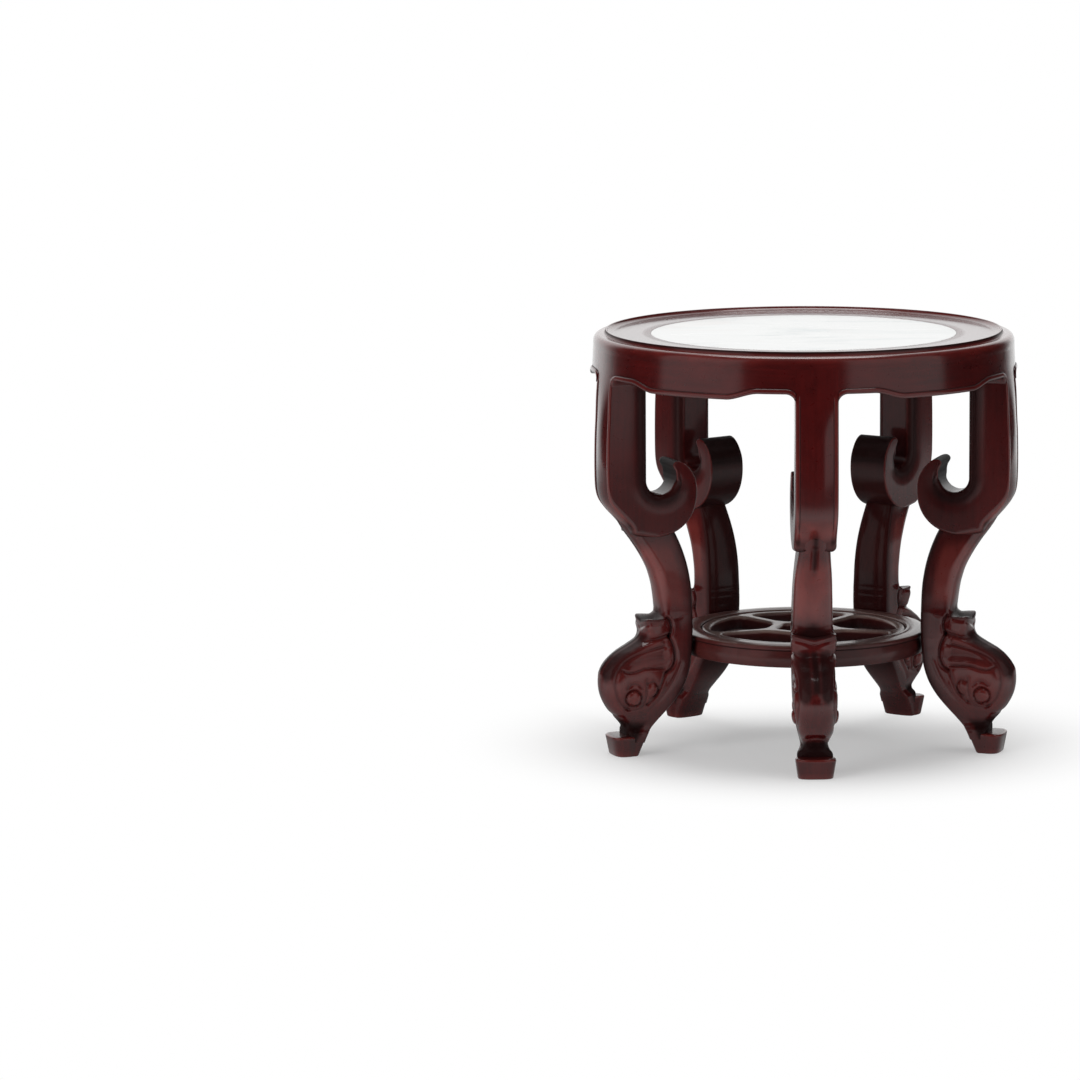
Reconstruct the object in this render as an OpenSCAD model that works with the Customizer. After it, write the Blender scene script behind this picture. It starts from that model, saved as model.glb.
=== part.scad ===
// Round five-legged hardwood display stand with a marble top, hooked scrolls, fish feet and a pierced shelf.
// Millimetres, +Z up. The stand's axis is Z, its feet stand on Z = 0 and its front leg points to -Y.

/* [Overall] */
// Height from the floor to the crest of the raised lip
stand_h = 253; // [243:1:275]
// Outer radius of the round top frame
top_r = 127; // [125:1:132]

/* [Top frame] */
// Height of the raised lip above the flat border
lip_h = 2; // [1:0.5:3]
// Distance from the frame's outer face in to the crest of the lip
lip_inset = 4; // [3:0.5:5]
// Height of the upright part of the outer face, under the rounded edge
face_h = 1; // [0.5:0.5:2]
// Thickness of the frame over the legs and the aprons
edge_t = 7; // [6.5:0.5:9]
// Thickness of the frame's inner part, which carries the marble
frame_t = 16; // [14:0.5:20]
// Width of the wooden border between the frame's outer face and the marble
border_w = 35; // [33:1:41]
// Width of the ledge under the marble
ledge_w = 7; // [4:0.5:9]

/* [Marble panel] */
// Thickness of the marble disc
marble_t = 8; // [6:0.5:9]
// Gap round the marble, filled with putty on the real stand
marble_gap = 0.3; // [0.2:0.1:0.6]

/* [Cross braces] */
// Width of each brace
brace_w = 14; // [10:1:16]
// Length of the tenon at each end of a brace
brace_tenon_l = 6; // [4:0.5:8]
// Width of a brace's tenon
brace_tenon_w = 9; // [6:0.5:9.5]
// Thickness of a brace's tenon
brace_tenon_t = 4; // [3:0.5:5]

/* [Aprons] */
// Radial thickness of an apron
apron_t = 13; // [11:0.5:16]
// Height of an apron beside the legs
apron_h = 13; // [12:0.5:15]
// How much lower the middle of an apron hangs
apron_drop = 4; // [2:0.5:7]
// Half the length of the low middle run
low_half = 31; // [22:1:38]
// Length of the curved step between the high and the low run
step_l = 8; // [5:1:12]
// Radius of the fillet where an apron runs into a leg
fillet_r = 7; // [4:0.5:9]
// Width of the tongue along the top of an apron
tongue_w = 4; // [3:0.5:5]
// Height of that tongue
tongue_h = 3; // [2:0.5:4]
// Length of the tenon at each end of an apron
apron_tenon_l = 5; // [3:0.5:7]
// Radial thickness of that tenon
apron_tenon_t = 6; // [4:0.5:7]
// Height of that tenon
apron_tenon_h = 8; // [6:0.5:9]

/* [Legs] */
// How far a leg's knee stands out from the frame's outer face, which its top is flush with
leg_proud = 2.6; // [1:0.2:4]
// Radial depth of the upper leg
leg_d = 25; // [22:0.5:28]
// Width of the upper leg and its scroll
leg_w = 25.4; // [22:0.2:28]
// Length of the tenon on top of a leg
leg_tenon_l = 5; // [3:0.5:5]
// Width of that tenon
leg_tenon_w = 14; // [10:1:16]
// Radial depth of that tenon
leg_tenon_d = 12; // [8:1:14]
// Height of the scroll's centre above the floor
scroll_z = 160; // [152:1:168]
// Radius of the scroll
scroll_r = 26.5; // [24:0.5:28]
// Distance of the scroll's centre inside the upper leg's inner face
scroll_in = 5; // [3:0.5:7]
// Radius of the round-ended slot between the hook and the upper leg
slot_r = 9.2; // [8:0.2:10]
// Height of the slot's round end above the scroll's centre
slot_up = 7.4; // [6:0.2:9]
// Radius of the hook's rounded tip
tip_r = 2.6; // [2:0.2:3]

/* [Stems] */
// Radius from the stand's axis to the inner face of a stem at its waist
stem_in = 74.4; // [72:0.2:78]
// Radial depth of a stem at its waist
stem_d = 19; // [17:0.5:21]
// Width of a stem
stem_w = 24.4; // [21:0.2:25]
// Width of a stem where it leaves the scroll
stem_top_w = 20; // [17:0.5:23]
// Height of the stem's waist
waist_z = 80; // [76:1:86]

/* [Fish feet] */
// Height of the fish's tail tip above the floor
fish_top = 84; // [80:1:92]
// Radius from the stand's axis to the fish's back
fish_out = 130.5; // [124:0.5:134]
// Width of the fish's body
fish_w = 27; // [25:0.5:29]
// Width of the fish's mouth where it meets the foot block
mouth_w = 15; // [12:0.5:18]
// Height of the foot block
foot_h = 13; // [12:0.5:18]
// Width of the foot block at its top
foot_w = 24.5; // [22:0.5:28]
// How much each side of the foot block tapers towards the floor
foot_taper = 1.6; // [0.5:0.1:3]
// Radius from the axis to the inner edge of the foot's sole
foot_in = 108.5; // [106:0.5:112]
// Radius from the axis to the outer edge of the foot block's top
foot_out = 127; // [124:0.5:132]

/* [Shelf] */
// Height of the shelf ring's top above the floor
shelf_z = 72; // [68:0.5:76]
// Height of the shelf ring
shelf_t = 14; // [12:0.5:18]
// Radial width of the shelf ring
ring_w = 12; // [10:0.5:15]
// Radius of the bead along the ring's upper edge
bead_r = 1.6; // [1:0.2:2.2]
// Depth of the hollow under the bead
hollow_d = 0.8; // [0.4:0.1:1.2]
// Drop from the ring's top down to the fretwork
fret_drop = 1; // [0.5:0.1:2]
// Thickness of the fretwork
fret_t = 8; // [6:0.5:9]
// Width of the fretwork's round rim
fret_rim_w = 6; // [4:0.5:9]
// Width of the fretwork's bars
bar_w = 7; // [5:0.5:9]
// Radius to the corners of the fretwork's pentagon, on the bars' middle lines
penta_r = 22; // [18:0.5:27]
// Length of the tongue round the fretwork
fret_tongue_l = 2.5; // [1.5:0.5:3.5]
// Thickness of that tongue
fret_tongue_t = 3; // [2:0.5:3.5]
// Length of the tenon that joins the ring to a leg
ring_tenon_l = 7; // [5:0.5:8]
// Width of that tenon
ring_tenon_w = 10; // [7:0.5:12]
// Height of that tenon
ring_tenon_h = 7; // [5:0.5:8]

/* [Splines and fits] */
// Half the length of a loose spline across a joint
spline_half = 5.5; // [4:0.5:6]
// Thickness of a loose spline
spline_t = 2.6; // [2:0.2:3]
// Width of a spline in the top frame
top_spline_w = 10; // [7:0.5:11]
// Width of a spline in the shelf ring
ring_spline_w = 4.5; // [3:0.5:5]
// Clearance on each side of a glued joint
fit = 0.1; // [0.05:0.05:0.2]

/* [Hidden] */
$fn = 96;
LEG_N = 5;
STEP = 360 / LEG_N;
FRONT = -90;
SIDES = ["front", "right", "back_right", "back_left", "left"];
PANELS = ["front_right", "right", "back", "left", "front_left"];
BRACE_A = [45, 135];
BRACES = ["right", "left"];

WOOD = "#4f1614";
WOOD_DARK = "#3a1210";
MARBLE = "#f1f1ee";

// A cut runs this far past the face that it opens
over = 1;

// Levels and radii of the top
border_z = stand_h - lip_h;
seat_z = border_z - edge_t;
under_z = border_z - frame_t;
ledge_z = border_z - marble_t;
brace_t = ledge_z - under_z;
lip_r = top_r - lip_inset;
marble_r = top_r - border_w;
ledge_r = marble_r - ledge_w;
apron_in_r = top_r - apron_t;
apron_mid_r = top_r - apron_t / 2;
panel_half = top_r * sin(STEP / 2);

// Places along a leg
leg_out_r = top_r + leg_proud;
leg_in_r = leg_out_r - leg_d;
frame_step_r = leg_in_r - fit;
scroll_c = [leg_in_r - scroll_in, scroll_z];
scroll_low = scroll_z - scroll_r;
slot_c = [leg_in_r - slot_r, scroll_z + slot_up];
tip_c = slot_c + [1.55 * tip_r - slot_r, slot_r + 0.85 * tip_r];
stem_out = stem_in + stem_d;
leg_tenon_r = leg_in_r + (apron_mid_r - leg_in_r - leg_tenon_d) / 2;
apron_tenon_z = seat_z - apron_h + (apron_h - apron_tenon_h) / 2;

// Places on the shelf
shelf_r = stem_in - fit;
ring_in_r = shelf_r - ring_w;
shelf_low = shelf_z - shelf_t;
fret_z = shelf_z - fret_drop - fret_t;
fret_r = ring_in_r - fit;
fret_in_r = fret_r - fret_rim_w;
tongue_z = fret_z + (fret_t - fret_tongue_t) / 2;
ring_tenon_z = shelf_low + (shelf_t - ring_tenon_h) / 2;

// Azimuth of leg i
function leg_a(i) = FRONT + STEP * i;

// One point of a smooth curve through four points, at parameter t between the middle two
function spline_point(a, b, c, d, t) =
  0.5 * (
    2 * b + (c - a) * t + (2 * a - 5 * b + 4 * c - d) * pow(t, 2) + (3 * b - a - 3 * c + d) * pow(t, 3)
  );

// A smooth curve from the second point of a list to its last but one
function spline(p, n = 6) = [
  for (k = [1:len(p) - 3], j = [0:n - 1]) spline_point(p[k - 1], p[k], p[k + 1], p[k + 2], j / n),
  p[len(p) - 2]
];

// The same curve through every point of a list, with its ends repeated
function curve(p, n = 6) = spline(concat([p[0]], p, [p[len(p) - 1]]), n);

// A point a share u, v of the way across a box from corner a to corner b
function share(a, b, uv) = [a[0] + (b[0] - a[0]) * uv[0], a[1] + (b[1] - a[1]) * uv[1]];

// Rises smoothly from 0 to 1
function ease(t) = (1 - cos(180 * t)) / 2;

// Where the stem's two edges leave the scroll, as shares of its radius from its centre
NECK_IN = 0.53;
NECK_OUT = 0.45;

// Inner edge of a stem at share t of the way up from the waist: a power curve that flares into the scroll
flare_in = scroll_c[0] - scroll_r * NECK_IN - stem_in;
function stem_inner(t) = [stem_in + flare_in * pow(t, 2.6), waist_z + (scroll_low - waist_z) * t];

// Outer edge of a stem at share t: a parabola up to the knee
flare_out = scroll_c[0] + scroll_r * NECK_OUT - stem_out;
function stem_outer(t) = [stem_out + flare_out * pow(t, 2), waist_z + (scroll_low - waist_z) * t];

// Corners of the box that holds the fish, in the leg's radial plane
fish_lo = [stem_out, foot_h];
fish_hi = [fish_out, fish_top];
fish_h = fish_top - foot_h;

// Knee, from the upper leg's outer face down and in to the stem
knee_edge = curve([
  [leg_out_r, scroll_z + scroll_r * 0.3],
  [leg_out_r, scroll_z],
  scroll_c + scroll_r * [1.07, -0.21],
  scroll_c + scroll_r * [0.92, -0.43],
  scroll_c + scroll_r * [0.69, -0.70],
  stem_outer(1)
]);

// Inner edge of the lower leg, from the waist down and out to the sole
lower_inner = curve([
  for (uv = [[0, 0], [0.01, 0.1], [0.05, 0.23], [0.15, 0.43], [0.41, 0.62], [0.79, 0.82], [1, 1]])
    share([stem_in, waist_z], [foot_in, 0], uv)
]);

// Outline of the fish: tail, back, mouth and the groove along the stem, as shares of its own box
fish_edge = curve([
  for (uv = [
    [0.04, 0.96], [0.15, 0.99], [0.28, 1], [0.38, 0.95], [0.36, 0.84], [0.44, 0.77], [0.72, 0.70],
    [0.93, 0.58], [1, 0.43], [0.94, 0.27], [0.76, 0.13], [0.64, 0.03], [0.64, -0.03], [0.34, -0.03],
    [0.12, 0.17], [-0.08, 0.33], [-0.18, 0.50], [-0.19, 0.63], [-0.13, 0.77], [-0.10, 0.88], [0.04, 0.96]
  ])
    share(fish_lo, fish_hi, uv)
]);

// Half width of the lower leg, seen from outside, against height
leg_halves = curve([
  [mouth_w / 2, foot_h - over],
  [mouth_w / 2, foot_h + fish_h * 0.06],
  [mouth_w * 0.7, foot_h + fish_h * 0.16],
  [fish_w * 0.48, foot_h + fish_h * 0.28],
  [fish_w / 2, foot_h + fish_h * 0.5],
  [fish_w / 2, fish_top + over],
  [stem_w / 2, fish_top + (scroll_low - fish_top) * 0.5],
  [stem_top_w / 2, scroll_low],
  [stem_top_w / 2, scroll_z]
]);

module at_leg(i) {
  rotate([0, 0, leg_a(i)]) children();
}

// A board of the given width that stands in a leg's own radial plane
module board(w) {
  rotate([90, 0, 0]) linear_extrude(height = w, center = true) children();
}

// A bar from radius a to radius b with its outline drawn across the radius
module radial_bar(a, b) {
  translate([a, 0, 0]) rotate([90, 0, 90]) linear_extrude(height = b - a) children();
}

// A box centred on the radius, from radius a, d deep, w wide and h high from height z, grown by g all round
module radial_box(a, d, w, z, h, g = 0) {
  translate([a - g, -w / 2 - g, z - g]) cube([d + 2 * g, w + 2 * g, h + 2 * g]);
}

module ring(r0, r1, z, h) {
  rotate_extrude() translate([r0, z]) square([r1 - r0, h]);
}

// One fifth of a turned ring, centred on leg i
module fifth(i) {
  rotate([0, 0, leg_a(i) - STEP / 2]) rotate_extrude(angle = STEP) children();
}

// Section of the top frame: ledge, flat border, raised lip and rounded outer edge
module frame_section() {
  round_z = seat_z + face_h;
  difference() {
    union() {
      translate([ledge_r, under_z]) square([frame_step_r - ledge_r, frame_t]);
      polygon(concat(
        [[ledge_r, seat_z], [top_r, seat_z]],
        [for (a = [0:10:90]) [lip_r + lip_inset * cos(a), round_z + (stand_h - round_z) * sin(a)]],
        [for (a = [105:15:180]) [lip_r + lip_h * cos(a), border_z + lip_h * sin(a)]],
        [[ledge_r, border_z]]
      ));
    }
    translate([ledge_r - over, ledge_z]) square([ledge_w + over + marble_gap, marble_t + over]);
    translate([apron_mid_r - tongue_w / 2 - fit, seat_z - over])
      square([tongue_w + 2 * fit, tongue_h + fit + over]);
  }
}

// Spline across the frame joint that lies half a step past leg i
module frame_spline(i, g = 0) {
  mid = (ledge_r + frame_step_r) / 2;
  low = under_z + (brace_t - spline_t) / 2;
  rotate([0, 0, leg_a(i) + STEP / 2])
    radial_box(mid - top_spline_w / 2, top_spline_w, 2 * spline_half, low, spline_t, g);
}

module frame_splines() {
  color(WOOD_DARK) for (i = [0:LEG_N - 1]) frame_spline(i);
}

module frame_segment(i) {
  color(WOOD) difference() {
    fifth(i) frame_section();
    at_leg(i) leg_tenon(fit);
    for (a = BRACE_A) brace_tenons(a, fit);
    frame_spline(i, fit);
    frame_spline(i - 1, fit);
  }
}

module marble_panel() {
  color(MARBLE) translate([0, 0, ledge_z]) cylinder(r = marble_r, h = marble_t);
}

// The tenons of the brace that lies at azimuth a, as one long bar
module brace_tenons(a, g = 0) {
  reach = ledge_r + brace_tenon_l;
  rotate([0, 0, a])
    radial_box(-reach, 2 * reach, brace_tenon_w, under_z + (brace_t - brace_tenon_t) / 2, brace_tenon_t, g);
}

// Brace j of the halved cross under the marble: the first is cut from above and the second from below
module cross_brace(j) {
  lap_z = under_z + (j == 0 ? brace_t / 2 : -over);
  color(WOOD_DARK) difference() {
    union() {
      intersection() {
        rotate([0, 0, BRACE_A[j]]) radial_box(-ledge_r, 2 * ledge_r, brace_w, under_z, brace_t);
        translate([0, 0, under_z]) cylinder(r = ledge_r - fit, h = brace_t);
      }
      brace_tenons(BRACE_A[j]);
    }
    rotate([0, 0, BRACE_A[1 - j]]) translate([-ledge_r, -brace_w / 2 - fit, lap_z])
      cube([2 * ledge_r, brace_w + 2 * fit, brace_t / 2 + over]);
  }
}

// Outline of an apron seen from outside: a low middle run between two high runs
apron_edge = [
  for (t = [0:0.125:1]) [-low_half - step_l * (1 - t), seat_z - apron_h - apron_drop * ease(t)],
  for (t = [0:0.125:1]) [low_half + step_l * t, seat_z - apron_h - apron_drop * ease(1 - t)]
];

// Fillet that carries an apron's lower edge down the side of the leg, on side s of that leg
module apron_fillet(s) {
  corner = [leg_w / 2, seat_z - apron_h];
  radial_bar(apron_in_r - over, top_r + over) mirror([s < 0 ? 1 : 0, 0]) difference() {
    translate(corner - [0, fillet_r]) square([fillet_r, fillet_r + over]);
    translate(corner + [fillet_r, -fillet_r]) circle(fillet_r);
  }
}

// Tenon of an apron in side s of a leg, in that leg's own frame
module apron_tenon(s, g = 0) {
  mirror([0, s < 0 ? 1 : 0, 0])
    translate([apron_mid_r - apron_tenon_t / 2 - g, leg_w / 2 - apron_tenon_l - g, apron_tenon_z - g])
      cube([apron_tenon_t + 2 * g, apron_tenon_l + over + g, apron_tenon_h + 2 * g]);
}

// Apron between leg i and the next leg
module apron(i) {
  depth = apron_h + apron_drop + fillet_r;
  ends = [[i, 1], [i + 1, -1]];
  color(WOOD) {
    difference() {
      union() {
        intersection() {
          ring(apron_in_r, top_r, seat_z - depth, depth);
          union() {
            rotate([0, 0, leg_a(i) + STEP / 2]) radial_bar(0, top_r + over) polygon(concat(
              [[-panel_half, seat_z], [-panel_half, seat_z - apron_h]],
              apron_edge,
              [[panel_half, seat_z - apron_h], [panel_half, seat_z]]
            ));
            for (e = ends) at_leg(e[0]) apron_fillet(e[1]);
          }
        }
        intersection() {
          ring(apron_mid_r - tongue_w / 2, apron_mid_r + tongue_w / 2, seat_z - over, tongue_h + over);
          rotate([0, 0, leg_a(i) + STEP / 2]) translate([0, -panel_half, 0])
            cube([2 * top_r, 2 * panel_half, stand_h]);
        }
      }
      for (e = ends) at_leg(e[0]) mirror([0, e[1] < 0 ? 1 : 0, 0])
        translate([0, leg_w / 2 - leg_out_r, 0]) cube([2 * leg_out_r, leg_out_r, stand_h]);
    }
    for (e = ends) at_leg(e[0]) apron_tenon(e[1]);
  }
}

module leg_tenon(g = 0) {
  radial_box(leg_tenon_r, leg_tenon_d, leg_tenon_w, seat_z, leg_tenon_l, g);
}

// Tenon of the shelf ring in the inner face of a leg
module ring_tenon(g = 0) {
  radial_box(ring_in_r + ring_w / 2, ring_w / 2 + ring_tenon_l, ring_tenon_w, ring_tenon_z, ring_tenon_h, g);
}

// Upper leg, knee and hooked scroll in the leg's radial plane
module upper_outline() {
  difference() {
    union() {
      polygon([
        [leg_in_r, scroll_z], [leg_out_r, scroll_z], [leg_out_r, scroll_z + scroll_r * 0.5],
        [top_r, seat_z], [leg_in_r, seat_z]
      ]);
      translate(scroll_c) circle(scroll_r);
      polygon(concat([scroll_c, [leg_in_r, scroll_z + scroll_r * 0.3]], knee_edge));
    }
    translate(slot_c) circle(slot_r);
    polygon([
      slot_c, tip_c - [0, tip_r], tip_c, tip_c + [0, tip_r], tip_c + [-scroll_r, tip_r],
      [tip_c[0] - scroll_r, seat_z], [leg_in_r, seat_z], [leg_in_r, slot_c[1]]
    ]);
  }
  translate(tip_c) circle(tip_r);
}

// Stem and lower leg in the leg's radial plane
module stem_outline() {
  polygon(concat(
    [scroll_c],
    [for (t = [1:-0.125:0.125]) stem_inner(t)],
    lower_inner,
    [[(foot_in + foot_out) / 2, 0]],
    [for (uv = [[0.5, 0.06], [0.3, 0.2], [0, 0.4], [-0.1, 0.7]]) share(fish_lo, fish_hi, uv)],
    [for (t = [0:0.125:1]) stem_outer(t)]
  ));
}

module foot_block() {
  half = foot_w / 2;
  intersection() {
    board(foot_w) polygon([
      [foot_in, 0], [foot_out - 2 * foot_taper, 0], [foot_out, foot_h],
      share([stem_in, waist_z], [foot_in, 0], [0.79, 1 - foot_h / waist_z])
    ]);
    radial_bar(stem_in, foot_out + over) polygon([
      [-half, foot_h], [half, foot_h], [half - foot_taper, 0], [foot_taper - half, 0]
    ]);
  }
}

// Leg i, carved from one plank: tenon, upper leg, hooked scroll, stem, fish and foot block
module leg(i) {
  color(WOOD) at_leg(i) difference() {
    union() {
      leg_tenon();
      board(leg_w) upper_outline();
      intersection() {
        union() {
          board(stem_w) stem_outline();
          board(fish_w) polygon(fish_edge);
        }
        radial_bar(stem_in - over, leg_out_r + leg_d) polygon(concat(
          leg_halves,
          [for (k = [len(leg_halves) - 1:-1:0]) [-leg_halves[k][0], leg_halves[k][1]]]
        ));
      }
      foot_block();
    }
    for (s = [-1, 1]) apron_tenon(s, fit);
    ring_tenon(fit);
  }
}

// Section of the shelf ring: a bead, a hollow under it and a gently rounded face
module ring_section() {
  face_top = shelf_z - 2 * bead_r;
  face = face_top - shelf_low;
  difference() {
    union() {
      polygon(concat(
        [[ring_in_r, shelf_z], [ring_in_r, shelf_low]],
        [for (t = [0:0.125:1]) [shelf_r - hollow_d * pow(2 * t - 1, 2), shelf_low + face * t]],
        [[shelf_r - hollow_d, shelf_z - bead_r], [shelf_r - bead_r, shelf_z]]
      ));
      translate([shelf_r - bead_r, shelf_z - bead_r]) circle(bead_r);
    }
    translate([ring_in_r - over, tongue_z - fit])
      square([fret_tongue_l + over + fit, fret_tongue_t + 2 * fit]);
  }
}

// Spline across the ring joint that lies half a step past leg i
module ring_spline(i, g = 0) {
  mid = (ring_in_r + fret_tongue_l + shelf_r) / 2;
  rotate([0, 0, leg_a(i) + STEP / 2])
    radial_box(mid - ring_spline_w / 2, ring_spline_w, 2 * spline_half, tongue_z, spline_t, g);
}

module shelf_splines() {
  color(WOOD_DARK) for (i = [0:LEG_N - 1]) ring_spline(i);
}

module shelf_ring(i) {
  color(WOOD) {
    difference() {
      fifth(i) ring_section();
      ring_spline(i, fit);
      ring_spline(i - 1, fit);
    }
    at_leg(i) ring_tenon();
  }
}

// Pierced shelf: a round rim, five spokes that point at the legs and a pentagon in the middle
module shelf_fret() {
  apothem = penta_r * cos(STEP / 2);
  color(WOOD_DARK) {
    ring(fret_in_r + over, fret_r + fret_tongue_l, tongue_z, fret_tongue_t);
    translate([0, 0, fret_z]) rotate([0, 0, FRONT]) linear_extrude(height = fret_t) difference() {
      circle(fret_r);
      difference() {
        circle(fret_in_r);
        circle((apothem + bar_w / 2) / cos(STEP / 2), $fn = LEG_N);
        for (i = [0:LEG_N - 1]) rotate(STEP * i) translate([penta_r, -bar_w / 2])
          square([fret_r - penta_r, bar_w]);
      }
      circle((apothem - bar_w / 2) / cos(STEP / 2), $fn = LEG_N);
    }
  }
}

marble_panel();
frame_splines();
shelf_fret();
shelf_splines();
for (j = [0:len(BRACES) - 1])
  cross_brace(j);
for (i = [0:LEG_N - 1])
  frame_segment(i);
for (i = [0:LEG_N - 1])
  apron(i);
for (i = [0:LEG_N - 1])
  leg(i);
for (i = [0:LEG_N - 1])
  shelf_ring(i);
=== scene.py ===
"""Dresses a round five-legged hardwood stand with a marble top for a studio picture.

Sizes in the classes are millimetres and Blender's objects are metres. The stand's axis is Z, its feet
stand on Z = 0 and its front leg points to -Y. A leg is worked out once, in its own plane with the radius
along X and the width along Y, and turned to its five places.
"""
import logging
import math
from dataclasses import dataclass
from enum import Enum
from typing import Any, ClassVar, Sequence

import bpy
import numpy as np
from mathutils import Matrix, Vector
from mathutils.geometry import tessellate_polygon


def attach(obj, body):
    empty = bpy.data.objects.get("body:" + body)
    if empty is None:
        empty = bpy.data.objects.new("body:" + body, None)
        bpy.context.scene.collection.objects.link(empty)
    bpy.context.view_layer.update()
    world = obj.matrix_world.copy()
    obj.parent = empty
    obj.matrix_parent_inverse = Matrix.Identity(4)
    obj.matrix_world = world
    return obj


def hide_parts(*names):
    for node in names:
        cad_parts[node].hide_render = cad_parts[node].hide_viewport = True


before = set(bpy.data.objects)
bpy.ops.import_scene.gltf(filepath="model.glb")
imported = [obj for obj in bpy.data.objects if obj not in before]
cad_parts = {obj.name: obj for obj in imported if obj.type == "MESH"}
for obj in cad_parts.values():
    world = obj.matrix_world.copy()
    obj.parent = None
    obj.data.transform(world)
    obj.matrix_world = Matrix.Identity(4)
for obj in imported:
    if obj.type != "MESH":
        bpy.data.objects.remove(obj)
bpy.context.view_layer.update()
LOG = logging.getLogger("stand")
MM = 0.001
LEGS = 5
STEP = 360 / LEGS
SIDES = ("front", "right", "back_right", "back_left", "left")
PANELS = ("front_right", "right", "back", "left", "front_left")
CURVE_STEPS = 40
SHARP_ANGLE = 40
GRAIN_SEED = 90
GRAIN_SHIFT = 400
Colour = tuple[float, float, float]
Place = tuple[float, float, float]
Path = tuple[tuple[float, float], ...]
Span = tuple[float, float, float, float]


class Slot(Enum):
    """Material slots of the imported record."""

    LACQUER = "lacquered_hardwood"
    BARE = "bare_hardwood"
    MARBLE = "marble"


def leg_azimuth(i: float) -> float:
    """Azimuth of leg i in degrees; halves give the places between two legs."""
    return -90 + STEP * i


def ease(x: np.ndarray, low: float, high: float) -> np.ndarray:
    """Rises from 0 at low to 1 at high as 3t^2 - 2t^3, t being the share of the way; low may exceed high."""
    t = np.clip((np.asarray(x, float) - low) / (high - low), 0, 1)
    return t * t * (3 - 2 * t)


def band(x: np.ndarray, start: float, full: float, fade: float, end: float) -> np.ndarray:
    """Rises from 0 at start to 1 at full, and falls from 1 at fade to 0 at end."""
    return ease(x, start, full) * ease(x, end, fade)


def smoothed(values: np.ndarray, reach: int, mode: str) -> np.ndarray:
    """Mean of each value and its neighbours up to reach places away; mode says how the ends are padded."""
    window = np.ones(2 * reach + 1) / (2 * reach + 1)
    return np.convolve(np.pad(values, reach, mode=mode), window, mode="valid")


def curve(points: Sequence[Sequence[float]], count: int) -> np.ndarray:
    """Samples a Catmull-Rom curve through points at equal steps of its arc length.

    Between points b and c, with a before and d after them, the curve is half of
    2b + (c - a)t + (2a - 5b + 4c - d)t^2 + (3b - a - 3c + d)t^3.

    Args:
        points: Points to pass through, of any dimension.
        count: Number of samples.

    Returns:
        The samples, one row each.
    """
    p = np.asarray(points, float)
    p = np.vstack([2 * p[0] - p[1], p, 2 * p[-1] - p[-2]])
    t = np.linspace(0, 1, CURVE_STEPS, endpoint=False)[None, :, None]
    a, b, c, d = (p[k:len(p) - 3 + k, None, :] for k in range(4))
    dense = 0.5 * (2 * b + (c - a) * t + (2 * a - 5 * b + 4 * c - d) * t**2 + (3 * b - a - 3 * c + d) * t**3)
    dense = np.vstack([dense.reshape(-1, p.shape[1]), p[-2]])
    way = np.concatenate([[0], np.cumsum(np.linalg.norm(np.diff(dense[:, :2], axis=0), axis=1))])
    s = np.linspace(0, way[-1], count)
    return np.stack([np.interp(s, way, column) for column in dense.T], axis=1)


def line(a: Sequence[float], b: Sequence[float], count: int) -> np.ndarray:
    """Evenly spaced points from a up to, but without, b."""
    t = np.linspace(0, 1, count, endpoint=False)[:, None]
    return np.asarray(a, float) * (1 - t) + np.asarray(b, float) * t


def arc(centre: Sequence[float], radius: float, start: float, end: float, count: int) -> np.ndarray:
    """Points on a circle from angle start to angle end, both in degrees and both included."""
    a = np.radians(np.linspace(start, end, count))
    return np.asarray(centre, float) + radius * np.stack([np.cos(a), np.sin(a)], axis=1)


def outward_normals(loop: np.ndarray) -> np.ndarray:
    """Unit normals of a closed anticlockwise outline, square to the chord between a point's neighbours.

    Args:
        loop: Points of the outline, n by 2.

    Returns:
        One outward normal for each point.
    """
    chord = np.roll(loop, -1, axis=0) - np.roll(loop, 1, axis=0)
    normal = np.stack([chord[:, 1], -chord[:, 0]], axis=1)
    return normal / np.linalg.norm(normal, axis=1, keepdims=True)


def distance_to(path: np.ndarray, x: np.ndarray, y: np.ndarray) -> np.ndarray:
    """Least distance from each point x, y to the straight runs of a path.

    Args:
        path: Corners of the path, n by 2.
        x: First coordinates.
        y: Second coordinates, of the same shape.

    Returns:
        The distances, in the shape of x.
    """
    p = np.stack([x.ravel(), y.ravel()], axis=1)[:, None, :]
    a, run = path[None, :-1, :], np.diff(path, axis=0)[None, :, :]
    t = np.clip(((p - a) * run).sum(-1) / np.maximum((run * run).sum(-1), 1e-12), 0, 1)
    gap = p - a - t[..., None] * run
    return np.sqrt((gap * gap).sum(-1).min(axis=1)).reshape(x.shape)


def superellipse(a: np.ndarray, power: np.ndarray | float) -> np.ndarray:
    """Distance (|cos a|^p + |sin a|^p)^(-1/p) of a superellipse's point at angle a from its middle."""
    return (np.abs(np.cos(a)) ** power + np.abs(np.sin(a)) ** power) ** (-1 / power)


def turning(azimuth: float) -> np.ndarray:
    """Matrix of a turn about the stand's axis by an azimuth in degrees."""
    a = math.radians(azimuth)
    return np.array([[math.cos(a), -math.sin(a), 0], [math.sin(a), math.cos(a), 0], [0, 0, 1]])


def carried_round(section: np.ndarray, azimuths: np.ndarray) -> np.ndarray:
    """Rings of a section in radius r and height z, one at each azimuth a in radians: r cos a, r sin a, z."""
    r, z, a = section[None, :, 0], section[None, :, 1], azimuths[:, None]
    return np.stack(np.broadcast_arrays(r * np.cos(a), r * np.sin(a), z), axis=-1)


def fifth(section: np.ndarray, rows: int) -> np.ndarray:
    """Rings of a section that is carried along a fifth of a circle about azimuth 0."""
    return carried_round(section, np.radians(np.linspace(-STEP / 2, STEP / 2, rows)))


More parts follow.
